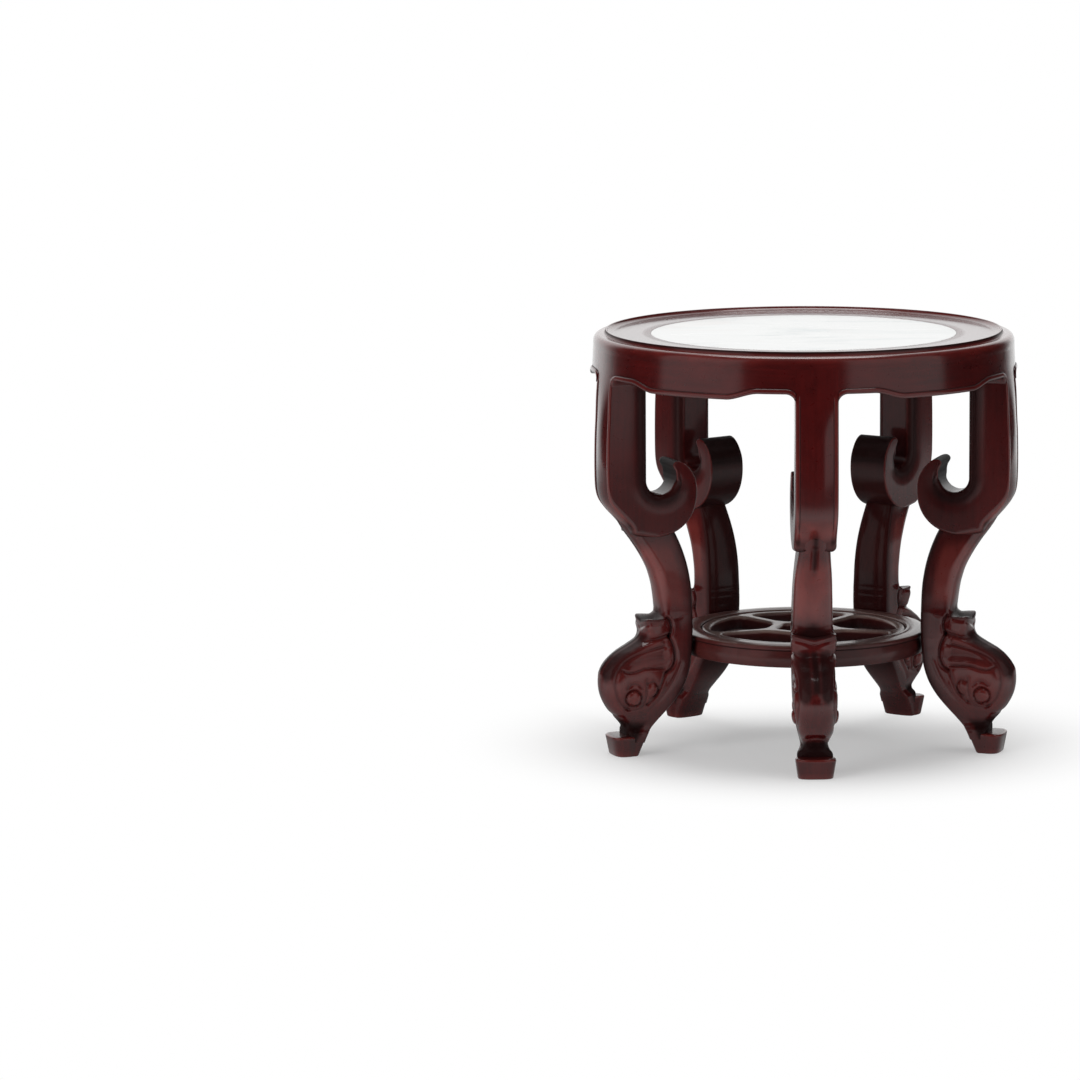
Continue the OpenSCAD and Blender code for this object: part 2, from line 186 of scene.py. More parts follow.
def strips(top: np.ndarray, low: np.ndarray) -> np.ndarray:
    """Four-cornered faces between rings of point numbers and the rings below them."""
    faces = [top, np.roll(top, -1, axis=-1), np.roll(low, -1, axis=-1), low]
    return np.stack(faces, axis=-1).reshape(-1, 4)


@dataclass
class Shell:
    """A closed surface with the values that its finish reads at each point.

    The grain vector holds a point's place in the board: along the fibres, then twice across them, in mm.
    Two shares mix colours into the finish. The dark one is staining in carved lines and painted shade in
    hollows, under parts and on faces turned from the light. The pale one is rubbing on edges and painted
    highlights where light falls.
    """

    points: np.ndarray
    quads: np.ndarray
    caps: list[np.ndarray]
    grain: np.ndarray
    recess: np.ndarray
    wear: np.ndarray

    @classmethod
    def loft(cls, rings: np.ndarray, grain: np.ndarray, recess: np.ndarray | float = 0.0,
             wear: np.ndarray | float = 0.0) -> "Shell":
        """Joins a stack of closed rings into a surface, with a flat cap on each end.

        Args:
            rings: Points, rows by columns by 3; each row is one closed ring.
            grain: Grain vectors of the same shape.
            recess: Share of dark staining and painted shade at each point, or one value for all.
            wear: Share of rubbing and painted highlight at each point, or one value for all.

        Returns:
            The surface, with its faces turned outwards.
        """
        rows, cols = rings.shape[:2]
        index = np.arange(rows * cols).reshape(rows, cols)
        quads = strips(index[:-1], index[1:])
        caps = [index[0, ::-1].copy(), index[-1].copy()]
        fill = [np.broadcast_to(np.asarray(v, float), (rows, cols)).ravel().copy() for v in (recess, wear)]
        return cls(rings.reshape(-1, 3), quads, caps, grain.reshape(-1, 3), fill[0], fill[1]).outward()

    def volume(self) -> float:
        """Signed volume: a sixth of the sum of the triple products of the faces' fans of triangles."""
        fans = [self.quads[:, [0, 1, 2]], self.quads[:, [0, 2, 3]]]
        fans += [np.stack([np.full(len(c) - 2, c[0]), c[1:-1], c[2:]], axis=1) for c in self.caps]
        a, b, c = (self.points[np.vstack(fans)[:, k]] for k in range(3))
        return float(np.einsum("ij,ij->", a, np.cross(b, c)) / 6)

    def outward(self) -> "Shell":
        """The same surface with its faces turned outwards."""
        if self.volume() < 0:
            self.quads = self.quads[:, ::-1].copy()
            self.caps = [c[::-1].copy() for c in self.caps]
        return self

    @classmethod
    def joined(cls, shells: Sequence["Shell"]) -> "Shell":
        """Several surfaces as one piece.

        Args:
            shells: The surfaces.

        Returns:
            One surface that holds all their points and faces.
        """
        first = np.concatenate([[0], np.cumsum([len(s.points) for s in shells])])[:-1]
        return cls(
            np.vstack([s.points for s in shells]),
            np.vstack([s.quads + n for s, n in zip(shells, first)]),
            [c + n for s, n in zip(shells, first) for c in s.caps],
            np.vstack([s.grain for s in shells]),
            np.concatenate([s.recess for s in shells]),
            np.concatenate([s.wear for s in shells]),
        )

    def turned(self, azimuth: float, board: int) -> "Shell":
        """A copy turned about the stand's axis, cut from another board.

        Args:
            azimuth: Turn in degrees.
            board: Number of the board, which shifts its grain.

        Returns:
            The turned copy.
        """
        shift = np.random.default_rng(GRAIN_SEED + board).uniform(-GRAIN_SHIFT, GRAIN_SHIFT, 3)
        points = self.points @ turning(azimuth).T
        return Shell(points, self.quads, self.caps, self.grain + shift, self.recess, self.wear)

    def mesh(self, name: str) -> bpy.types.Mesh:
        """Writes the surface into a Blender mesh in metres.

        Args:
            name: Name of the mesh.

        Returns:
            The mesh, with its attributes: grain, and the shares of dark staining with painted shade and of
                rubbing with painted highlight.
        """
        data = bpy.data.meshes.new(name)
        loops = np.concatenate([self.quads.ravel(), *self.caps]).astype(np.int32)
        totals = np.concatenate([np.full(len(self.quads), 4), [len(c) for c in self.caps]]).astype(np.int32)
        data.vertices.add(len(self.points))
        data.vertices.foreach_set("co", (self.points * MM).astype(np.float32).ravel())
        data.loops.add(len(loops))
        data.loops.foreach_set("vertex_index", loops)
        data.polygons.add(len(totals))
        starts = np.concatenate([[0], np.cumsum(totals)[:-1]]).astype(np.int32)
        data.polygons.foreach_set("loop_start", starts)
        data.polygons.foreach_set("loop_total", totals)
        data.polygons.foreach_set("use_smooth", np.ones(len(totals), bool))
        data.update(calc_edges=True)
        data.validate()
        data.set_sharp_from_angle(angle=math.radians(SHARP_ANGLE))
        data.attributes.new("grain", "FLOAT_VECTOR", "POINT").data.foreach_set(
            "vector", self.grain.astype(np.float32).ravel())
        for key, values in (("recess", self.recess), ("wear", self.wear)):
            data.attributes.new(key, "FLOAT", "POINT").data.foreach_set("value", values.astype(np.float32))
        return data


def place(name: str, shell: Shell, finish: bpy.types.Material, slot: Slot, nodes: Sequence[str]) -> None:
    """Puts a surface into the scene as the piece that stands for CAD nodes.

    Args:
        name: Name of the piece.
        shell: Its surface.
        finish: Its material.
        slot: The record's slot that its finish belongs to; not used.
        nodes: The CAD nodes that it replaces.
    """
    piece = bpy.data.objects.new(name, shell.mesh(name))
    bpy.context.scene.collection.objects.link(piece)
    piece.data.materials.append(finish)
    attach(piece, "root")
    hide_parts(*nodes)
    LOG.info("%s: %d points, %d faces", name, len(shell.points), len(shell.quads))


def place_five(piece: str, node: str, shell: Shell, finish: bpy.types.Material, board: int,
               names: Sequence[str] = SIDES, shift: float = 0.0) -> None:
    """Places a surface five times round the stand, each copy cut from a board of its own.

    Args:
        piece: Name of the pieces before their side.
        node: Name of the CAD nodes before their side.
        shell: The surface about azimuth 0.
        finish: Its material.
        board: Number of the first board.
        names: Names of the five sides.
        shift: Steps from the legs' places.
    """
    for i, side in enumerate(names):
        turned = shell.turned(leg_azimuth(i + shift), board + i)
        place(f"{piece}_{side}", turned, finish, Slot.LACQUER, [f"{node}_{side}"])


class Value:
    """A shader socket that Python's operators work on; each adds one Math node."""

    def __init__(self, graph: "Graph", socket: bpy.types.NodeSocket) -> None:
        """Wraps a socket of a graph."""
        self.graph = graph
        self.socket = socket

    def _math(self, operation: str, a: Any, b: Any) -> "Value":
        """One Math node on two values."""
        return self.graph.node("ShaderNodeMath", {"operation": operation}, {0: a, 1: b})

    def __add__(self, other: Any) -> "Value":
        """Sum."""
        return self._math("ADD", self, other)

    __radd__ = __add__

    def __sub__(self, other: Any) -> "Value":
        """Difference."""
        return self._math("SUBTRACT", self, other)

    def __rsub__(self, other: Any) -> "Value":
        """Difference the other way round."""
        return self._math("SUBTRACT", other, self)

    def __mul__(self, other: Any) -> "Value":
        """Product."""
        return self._math("MULTIPLY", self, other)

    __rmul__ = __mul__

    def sine(self) -> "Value":
        """Sine."""
        return self._math("SINE", self, 0.0)

    def angle(self, other: Any) -> "Value":
        """Angle in radians of the direction with this sine part and the other cosine part."""
        return self._math("ARCTAN2", self, other)

    def most(self, other: Any) -> "Value":
        """The greater of two values."""
        return self._math("MAXIMUM", self, other)

    def eased(self, low: float, high: float) -> "Value":
        """Smooth rise from 0 at low to 1 at high.

        Args:
            low: Value that gives 0; it may lie above high.
            high: Value that gives 1.

        Returns:
            The eased value.
        """
        flip = low > high
        ends = (high, low) if flip else (low, high)
        rise = self.graph.node("ShaderNodeMapRange", {"interpolation_type": "SMOOTHSTEP"},
                               {0: self, 1: ends[0], 2: ends[1], 3: 0.0, 4: 1.0})
        return 1 - rise if flip else rise


class Graph:
    """Node tree of one material or world."""

    def __init__(self, tree: bpy.types.NodeTree) -> None:
        """Empties a node tree to build in."""
        self.tree = tree
        tree.nodes.clear()

    def node(self, kind: str, settings: dict[str, Any] | None = None, inputs: dict[Any, Any] | None = None,
             output: Any = 0) -> Value:
        """Adds one node.

        Args:
            kind: Type of the node.
            settings: Its own settings, which are set first; "stops" holds a ramp's places and colours.
            inputs: Values or links of its sockets, by name or number.
            output: Name or number of the socket to hand on.

        Returns:
            The chosen output.
        """
        made = self.tree.nodes.new(kind)
        for key, value in (settings or {}).items():
            if key == "stops":
                ramp = made.color_ramp
                while len(ramp.elements) < len(value):
                    ramp.elements.new(1.0)
                for stop, (at, colour) in zip(ramp.elements, value):
                    stop.position = at
                    stop.color = (*colour, 1.0)
            else:
                setattr(made, key, value)
        for key, value in (inputs or {}).items():
            if isinstance(value, Value):
                self.tree.links.new(value.socket, made.inputs[key])
            else:
                made.inputs[key].default_value = value
        return Value(self, made.outputs[output]) if len(made.outputs) else Value(self, made.inputs[0])

    def mix(self, share: Any, a: Any, b: Any) -> Value:
        """Blends colour a with a share of colour b; each is a link or three numbers."""
        ends = (end if isinstance(end, Value) else (*end, 1.0) for end in (a, b))
        return self.node("ShaderNodeMix", {"data_type": "RGBA"}, dict(zip((0, 6, 7), (share, *ends))), 2)

    def noise(self, place: Value, detail: float, scale: float = 1.0, rough: float = 0.55,
              twist: float = 0.0) -> Value:
        """Soft noise from 0 to 1: its finer layers, cells to a unit, their strength and its distortion."""
        return self.node("ShaderNodeTexNoise", {}, {
            "Vector": place, "Scale": scale, "Detail": detail, "Roughness": rough, "Distortion": twist})

    def fibres(self, place: Value, along: float, across: float, detail: float, shift: float = 0.0,
               rough: float = 0.55, twist: float = 0.0) -> Value:
        """Noise on coordinates that are scaled along and across the fibres and shifted along every axis."""
        drawn = self.node("ShaderNodeMapping", {}, {
            "Vector": place, "Scale": (along, across, across), "Location": (shift, shift, shift)})
        return self.noise(drawn, detail, rough=rough, twist=twist)

    def bump(self, height: Value, strength: float, distance: float = 0.0002) -> Value:
        """Normal of a fine relief, whose full height is the distance in metres."""
        return self.node("ShaderNodeBump", {}, {"Height": height, "Strength": strength, "Distance": distance})

    @classmethod
    def material(cls, name: str) -> tuple[bpy.types.Material, "Graph"]:
        """A new material and the graph of its nodes."""
        made = bpy.data.materials.new(name)
        made.use_nodes = True
        return made, cls(made.node_tree)

    def dress(self, sockets: dict[str, Any]) -> None:
        """Ends a material with a Principled shader that has these sockets."""
        shader = self.node("ShaderNodeBsdfPrincipled", {}, sockets)
        self.node("ShaderNodeOutputMaterial", {}, {"Surface": shader})

    def attribute(self, name: str, output: str) -> Value:
        """Reads an attribute of the piece."""
        return self.node("ShaderNodeAttribute", {"attribute_name": name}, {}, output)


@dataclass(frozen=True)
class Lacquer:
    """Dark red-brown hardwood under a polished clear lacquer."""

    name: str = "lacquered hardwood"
    dark: Colour = (0.031, 0.0020, 0.0022)
    deep: Colour = (0.053, 0.0030, 0.0031)
    warm: Colour = (0.074, 0.0042, 0.0041)
    pale: Colour = (0.098, 0.0064, 0.0058)
    # The dark colour below serves both staining and painted shade, and the paler one both rubbing and painted
    # highlights.
    dark_stain_and_shade: Colour = (0.0070, 0.0018, 0.0018)
    rubbed_and_highlight: Colour = (0.210, 0.0300, 0.0240)
    stain_and_shade_share: float = 0.80
    rubbed_and_highlight_share: float = 0.64
    pore_share: float = 0.25
    ring_turns: float = 46.0
    gloss: float = 0.24
    shine: float = 0.2
    coat: float = 1.0
    coat_gloss: float = 0.12
    grain_depth: float = 0.04

    def build(self) -> bpy.types.Material:
        """Makes the material.

        Long streaks of noise run along the fibres, growth rings cross them, and short dark pores lie in them.
        Carved lines hold dark staining, and painted shade darkens hollows and parts out of the light. Edges
        are paler from rubbing, and painted highlights take the same paler colour.

        Returns:
            The material.
        """
        made, g = Graph.material(self.name)
        grain = g.attribute("grain", "Vector")
        recess, wear = (g.attribute(key, "Fac") for key in ("recess", "wear"))
        cloud = g.fibres(grain, along=0.012, across=0.03, detail=2.0, shift=5.0)
        streak = g.fibres(grain, along=0.018, across=0.42, detail=5.0, rough=0.6, twist=0.4)
        growth = g.fibres(grain, along=0.006, across=0.09, detail=2.0, shift=3.0, rough=0.5, twist=0.3)
        rings = (growth * self.ring_turns).sine() * 0.5 + 0.5
        pores = g.fibres(grain, along=0.16, across=3.1, detail=2.0, shift=9.0, rough=0.5).eased(0.60, 0.72)
        patch = g.noise(grain, detail=2.0, scale=0.07)
        smear = g.noise(grain, detail=3.0, scale=0.35)
        paler_patches = g.fibres(grain, along=0.03, across=0.10, detail=2.0, shift=2.0).eased(0.3, 0.7)
        tone = streak * 0.30 + rings * 0.06 + cloud * 0.50 + patch * 0.32 - 0.09
        colour = g.node("ShaderNodeValToRGB", {"stops": [
            (0.22, self.dark), (0.44, self.deep), (0.62, self.warm), (0.82, self.pale)]}, {0: tone})
        colour = g.mix(pores * self.pore_share, colour, self.dark)
        # Paler colour: rubbing on edges, and painted highlights.
        colour = g.mix(wear * (0.5 + 0.5 * paler_patches) * self.rubbed_and_highlight_share, colour, self.rubbed_and_highlight)
        # Dark colour: staining in carved lines, and painted shade.
        colour = g.mix((recess * self.stain_and_shade_share).eased(0.0, 1.0), colour, self.dark_stain_and_shade)
        g.dress({
            "Base Color": colour, "Roughness": self.gloss + 0.10 * smear + 0.10 * pores + 0.45 * recess,
            "Normal": g.bump(streak * 0.35 - pores * 0.5 + smear * 0.10, self.grain_depth),
            "Specular IOR Level": self.shine, "Coat Weight": self.coat * (1 - 0.9 * recess),
            "Coat Roughness": self.coat_gloss})
        return made


@dataclass(frozen=True)
class BareWood:
    """Unpolished hardwood of the hidden joinery, cut along one direction."""

    name: str = "bare hardwood"
    dark: Colour = (0.045, 0.014, 0.010)
    warm: Colour = (0.130, 0.046, 0.028)
    azimuth: float = 0.0

    def build(self) -> bpy.types.Material:
        """Makes the material: streaks along the board on Object coordinates, with open pores and a dull face.

        Returns:
            The material.
        """
        made, g = Graph.material(f"{self.name} {self.azimuth:.0f}")
        place_at = g.node("ShaderNodeTexCoord", {}, {}, "Object")
        board = g.node("ShaderNodeMapping", {}, {
            "Vector": place_at, "Rotation": (0, 0, -math.radians(self.azimuth)), "Scale": (1 / MM,) * 3})
        streak = g.fibres(board, along=0.02, across=0.5, detail=5.0, rough=0.6, twist=0.3)
        pores = g.fibres(board, along=0.2, across=3.4, detail=2.0, shift=4.0).eased(0.58, 0.70)
        colour = g.node("ShaderNodeValToRGB", {"stops": [(0.3, self.dark), (0.7, self.warm)]}, {0: streak})
        g.dress({
            "Base Color": g.mix(pores * 0.6, colour, self.dark), "Roughness": 0.55 + 0.2 * streak,
            "Normal": g.bump(streak - pores, 0.2, 0.0003)})
        return made


@dataclass(frozen=True)
class Marble:
    """Polished white marble with faint cool and pink bands."""

    name: str = "white marble"
    white: Colour = (0.86, 0.87, 0.86)
    cool: Colour = (0.66, 0.72, 0.72)
    pink: Colour = (0.80, 0.74, 0.72)
    vein: Colour = (0.42, 0.47, 0.48)
    vein_sharpness: float = 1600.0

    def build(self) -> bpy.types.Material:
        """Makes the material: wide bent bands of cloud, and thin veins where another noise crosses a half.

        Returns:
            The material.
        """
        made, g = Graph.material(self.name)
        grain = g.attribute("grain", "Vector")
        bands = g.fibres(grain, along=0.010, across=0.034, detail=5.0, twist=0.9)
        blush = g.fibres(grain, along=0.012, across=0.030, detail=3.0, shift=7.0, rough=0.5, twist=0.6)
        thread = g.fibres(grain, along=0.012, across=0.026, detail=6.0, shift=3.0, rough=0.62, twist=1.2)
        vein = (1 - ((thread - 0.5) * (thread - 0.5) * self.vein_sharpness)).eased(0.0, 1.0)
        speck = g.noise(grain, detail=2.0, scale=1.4)
        colour = g.mix(bands.eased(0.50, 0.74) * 0.75, self.white, self.cool)
        colour = g.mix(blush.eased(0.56, 0.76) * 0.6, colour, self.pink)
        colour = g.mix(vein * bands.eased(0.40, 0.66) * 0.30, colour, self.vein)
        g.dress({
            "Base Color": g.mix(speck * 0.10, colour, self.cool), "Normal": g.bump(speck, 0.03),
            "Roughness": 0.13 + 0.08 * speck + 0.05 * vein})
        return made


@dataclass
class TopFrame:
    """The five segments of the round top frame."""

    outer_r: float = 127.0
    lip_r: float = 122.6
    bead_r: float = 119.8
    crest_r: float = 0.5
    crest_z: float = 253.5
    shoulder_z: float = 251.2
    border_z: float = 251.0
    seat_z: float = 244.0
    under_z: float = 235.0
    ledge_z: float = 243.0
    ledge_r: float = 85.0
    marble_r: float = 92.05
    step_r: float = 104.5
    round_z: float = 245.2
    round_power: float = 0.75
    cove_at: float = 5.6
    cove_w: float = 4.4
    chamfer: float = 1.0
    seam_at: tuple[float, float] = (96.5, 95.0)
    crest_dark_reflection_at: Span = (-0.7, -0.3, 0.2, 0.7)
    rows: int = 64

    def section(self) -> np.ndarray:
        """Outline of a segment in radius and height, anticlockwise from the seat's outer corner.

        The outer edge is a quarter of a superellipse, cos^0.75 out and sin^0.75 up, from the upright face to
        a narrow shoulder. A small bead stands on the shoulder's inner side and falls in a hollow quarter
        ellipse to the flat border; small quarter circles break the other edges.

        Returns:
            The outline's points, n by 2.
        """
        a = np.radians(np.linspace(0, 90, 33))
        out, up = (part.clip(0) ** self.round_power for part in (np.cos(a), np.sin(a)))
        edge = np.stack([self.lip_r + (self.outer_r - self.lip_r) * out,
                         self.round_z + (self.shoulder_z - self.round_z) * up], axis=1)
        shoulder = (self.lip_r - 0.3, self.shoulder_z + 0.01)
        rise = line(shoulder, (self.bead_r + 0.1, self.shoulder_z + 0.2), 5)
        crest = arc((self.bead_r - 0.65, self.crest_z - self.crest_r), self.crest_r, -10, 190, 15)
        cove_z = self.crest_z - 0.3
        cove = np.array([self.bead_r - self.cove_at, cove_z]) + np.array([
            self.cove_w, cove_z - self.border_z]) * arc((0, 0), 1, -8, -88, 11)
        rim = arc((self.marble_r + 0.2, self.border_z - 0.2), 0.2, 90, 180, 5)
        corners = [(self.marble_r, self.ledge_z), (self.ledge_r + 0.4, self.ledge_z),
                   (self.ledge_r, self.ledge_z - 0.4), (self.ledge_r, self.under_z + self.chamfer),
                   (self.ledge_r + self.chamfer, self.under_z), (self.step_r - self.chamfer, self.under_z),
                   (self.step_r, self.under_z + self.chamfer), (self.step_r, self.seat_z)]
        face = line((self.outer_r, self.seat_z), (self.outer_r, self.round_z), 3)
        flat = line((self.bead_r - 5.7, self.border_z), (self.marble_r + 0.7, self.border_z), 8)
        return np.vstack([face, edge, rise, crest, cove, flat, rim, corners])

    def segment(self) -> Shell:
        """One segment about azimuth 0: its section is carried along a fifth of a circle.

        Returns:
            The segment's surface; its grain follows the chord, as in a segment sawn from a straight board.
        """
        section = self.section()
        r, z = section.T
        rings = fifth(section, self.rows)
        bead = self.bead_r
        # Painted highlight: paler red on the band's top edge and on the bead, where the side lamps light
        # them, together with rubbing.
        wear = 0.6 * ease(z, self.shoulder_z - 6, self.shoulder_z) * ease(r, bead - 4, bead - 1)
        seam = 0.3 * ease(r, *self.seam_at) * (z > self.border_z - 0.3)
        # Painted dark reflection: a thin dark line along the bead's crest.
        crest_dark_reflection = 0.9 * band(r - bead, *self.crest_dark_reflection_at)
        recess = np.maximum(seam, crest_dark_reflection * (z > self.shoulder_z))
        return Shell.loft(rings, rings[..., [1, 0, 2]].copy(), recess, wear * (1 - crest_dark_reflection))

    def build(self, finish: bpy.types.Material) -> None:
        """Makes and dresses the five segments."""
        place_five("top_segment", "frame", self.segment(), finish, 0)


@dataclass
class MarbleTop:
    """The marble disc that lies in the frame."""

    radius: float = 92.0
    low_z: float = 243.0
    top_z: float = 251.0
    ease_r: float = 0.25
    columns: int = 240

    def build(self, finish: bpy.types.Material) -> None:
        """Makes and dresses the disc: a profile with eased edges is turned about the axis."""
        e = self.ease_r
        profile = np.vstack([
            [(1.0, self.low_z), (self.radius - 3, self.low_z)],
            arc((self.radius - e, self.low_z + e), e, -90, 0, 5),
            arc((self.radius - e, self.top_z - e), e, 0, 90, 7),
            [(self.radius - 3, self.top_z), (self.radius * 0.5, self.top_z), (1.0, self.top_z)]])
        around = np.linspace(0, 2 * np.pi, self.columns, endpoint=False)
        rings = carried_round(profile, around).transpose(1, 0, 2)
        place("marble_disc", Shell.loft(rings, rings.copy()), finish, Slot.MARBLE, ["marble_panel"])


@dataclass
class Apron:
    """The five curved aprons between the legs, with a bead along the shaped lower edge."""

    outer_r: float = 127.0
    flare: float = 0.05
    inner_r: float = 114.0
    top_z: float = 244.0
    high_z: float = 229.4
    drop: float = 4.0
    step_at: tuple[float, float] = (11.5, 20.5)
    half_leg: float = 12.7
    fillet: float = 6.0
    bead_w: float = 3.2
    bead_h: float = 0.95
    bead_root: float = 0.25
    crowd: float = 0.384
    columns: int = 260

    # Places of the rows: on the bead in mm from the lower edge, then up the face as shares of its height
    BEAD_ROWS: ClassVar[tuple] = (
        0.0, 0.1, 0.3, 0.6, 1.0, 1.4, 1.8, 2.2, 2.55, 2.8, 3.0, 3.12, 3.2, 3.45, 3.8, 4.6)
    FACE_ROWS: ClassVar[tuple] = (0.12, 0.3, 0.5, 0.7, 0.88, 0.985)

    def lower_edge(self, x: np.ndarray, run: float) -> np.ndarray:
        """Height of the lower edge at distance x along the outer face, whose whole length is run.

        Two smooth steps lower the middle, and a quarter circle carries each end down the side of the leg.

        Args:
            x: Distances from the first leg's side.
            run: Length of the outer face.

        Returns:
            The heights.
        """
        from_middle = np.degrees(np.abs(x - run / 2) / self.outer_r)
        low = self.drop * ease(from_middle, self.step_at[1], self.step_at[0])
        near = np.minimum(np.minimum(x, run - x) + 0.3, self.fillet)
        fillet = self.fillet - np.sqrt(self.fillet**2 - (self.fillet - near) ** 2)
        return self.high_z - low - fillet

    def panel(self) -> Shell:
        """One apron about azimuth 0, whose outer face leans out by the flare for each mm below its top.

        Rows run round its section: up the outer face from the bead, across the top, down the inner face and
        back under. The rows of the bead follow the lower edge at fixed distances along its normal, and the
        columns crowd towards both ends by a sine.

        Returns:
            The apron's surface.
        """
        half = math.radians(STEP / 2)
        run = 2 * self.outer_r * (half - math.asin(self.half_leg / self.outer_r))
        u = np.linspace(0, 1, self.columns)
        x = (u - self.crowd * np.sin(2 * np.pi * u) / (2 * np.pi)) * run
        z = self.lower_edge(x, run)
        slope = np.stack([np.gradient(x), np.gradient(z)], axis=1)
        slope /= np.linalg.norm(slope, axis=1, keepdims=True)
        off = np.array(self.BEAD_ROWS)[:, None]
        bead_x = np.clip(x - off * slope[:, 1], 0, run)
        bead_z = z + off * slope[:, 0]
        share = np.array(self.FACE_ROWS)[:, None]
        face_x = np.repeat(bead_x[-1:], len(share), axis=0)
        face_z = bead_z[-1] * (1 - share) + self.top_z * share
        half_bead = self.bead_w / 2
        profile = np.sqrt(np.clip(1 - ((off - half_bead) / half_bead) ** 2, 0, 1))
        root = self.bead_root * (off < half_bead) * (1 - profile)
        bead_r = self.outer_r + (self.bead_h + self.bead_root) * profile - root
        low, high, flat = z[None], np.full((1, len(x)), self.top_z), np.ones((1, len(x)))
        outer = [(bead_x, bead_z, bead_r + self.flare * (self.top_z - bead_z)),
                 (face_x, face_z, self.outer_r + self.flare * (self.top_z - face_z)),
                 (x[None], high, self.outer_r * flat)]
        inner = [(x[None], high * (1 - t) + low * t, (self.inner_r + g) * flat)
                 for t, g in ((0, 0), (0.3, 0), (0.7, 0), (0.97, 0), (1, 0.5))]
        under = [(x[None], low, r * flat) for r in (self.inner_r + 4, self.outer_r - 3, self.outer_r - 0.7)]
        rows_x, rows_z, rows_r = (np.vstack([part[k] for part in outer + inner + under]) for k in range(3))
        edge = np.arcsin(self.half_leg / rows_r)
        az = -half + edge + rows_x / run * 2 * (half - edge)
        rings = np.stack([rows_r * np.cos(az), rows_r * np.sin(az), rows_z], axis=-1).transpose(1, 0, 2)
        grain = np.stack([rows_x, rows_r, rows_z], axis=-1).transpose(1, 0, 2)
        recess, wear = np.zeros(rows_x.shape), np.zeros(rows_x.shape)
        # Painted shade with dark staining in the groove above the bead.
        recess[:len(off)] = np.exp(-((off - self.bead_w) / 0.28) ** 2) * 0.8
        wear[:len(off)] = 0.4 * np.exp(-((off - self.bead_w * 0.6) / 0.8) ** 2)
        return Shell.loft(rings, grain, recess.T, wear.T)

    def build(self, finish: bpy.types.Material) -> None:
        """Makes and dresses the five aprons."""
        place_five("apron_board", "apron", self.panel(), finish, 10, PANELS, 0.5)


def mirrored(*half: tuple[float, float]) -> Path:
    """A path across the leg: one half, from the edge to the middle, and then its mirror image."""
    return (*half, *((-x, z) for x, z in half[-2::-1]))


@dataclass(frozen=True)
class Cut:
    """A carved line: a groove, or a ridge where its depth is negative, with a bell-shaped section."""

    path: Path
    width: float
    depth: float

    def relief(self, x: np.ndarray, y: np.ndarray) -> np.ndarray:
        """Height: minus the depth times exp(-(d / width)^2), d being the distance to the line."""
        d = distance_to(curve(self.path, 8 * len(self.path)), x, y)
        return -self.depth * np.exp(-((d / self.width) ** 2))


@dataclass(frozen=True)
class Boss:
    """A raised round, such as an eyeball or a cheek: a low dome of elliptical section."""

    centre: tuple[float, float]
    radius: float
    height: float
    stretch: float = 1.0

    def relief(self, x: np.ndarray, y: np.ndarray) -> np.ndarray:
        """Height inside the dome: its own times the square root of 1 - (d / radius)^2."""
        d = np.hypot((x - self.centre[0]) / self.stretch, y - self.centre[1]) / self.radius
        return self.height * np.sqrt(np.clip(1 - d * d, 0, 1))


@dataclass(frozen=True)
class Ring:
    """A carved circle, such as the line round an eye."""

    centre: tuple[float, float]
    radius: float
    width: float
    depth: float

    def relief(self, x: np.ndarray, y: np.ndarray) -> np.ndarray:
        """Height: minus the depth times exp(-(d / width)^2), d being the distance to the circle."""
        d = np.hypot(x - self.centre[0], y - self.centre[1]) - self.radius
        return -self.depth * np.exp(-((d / self.width) ** 2))


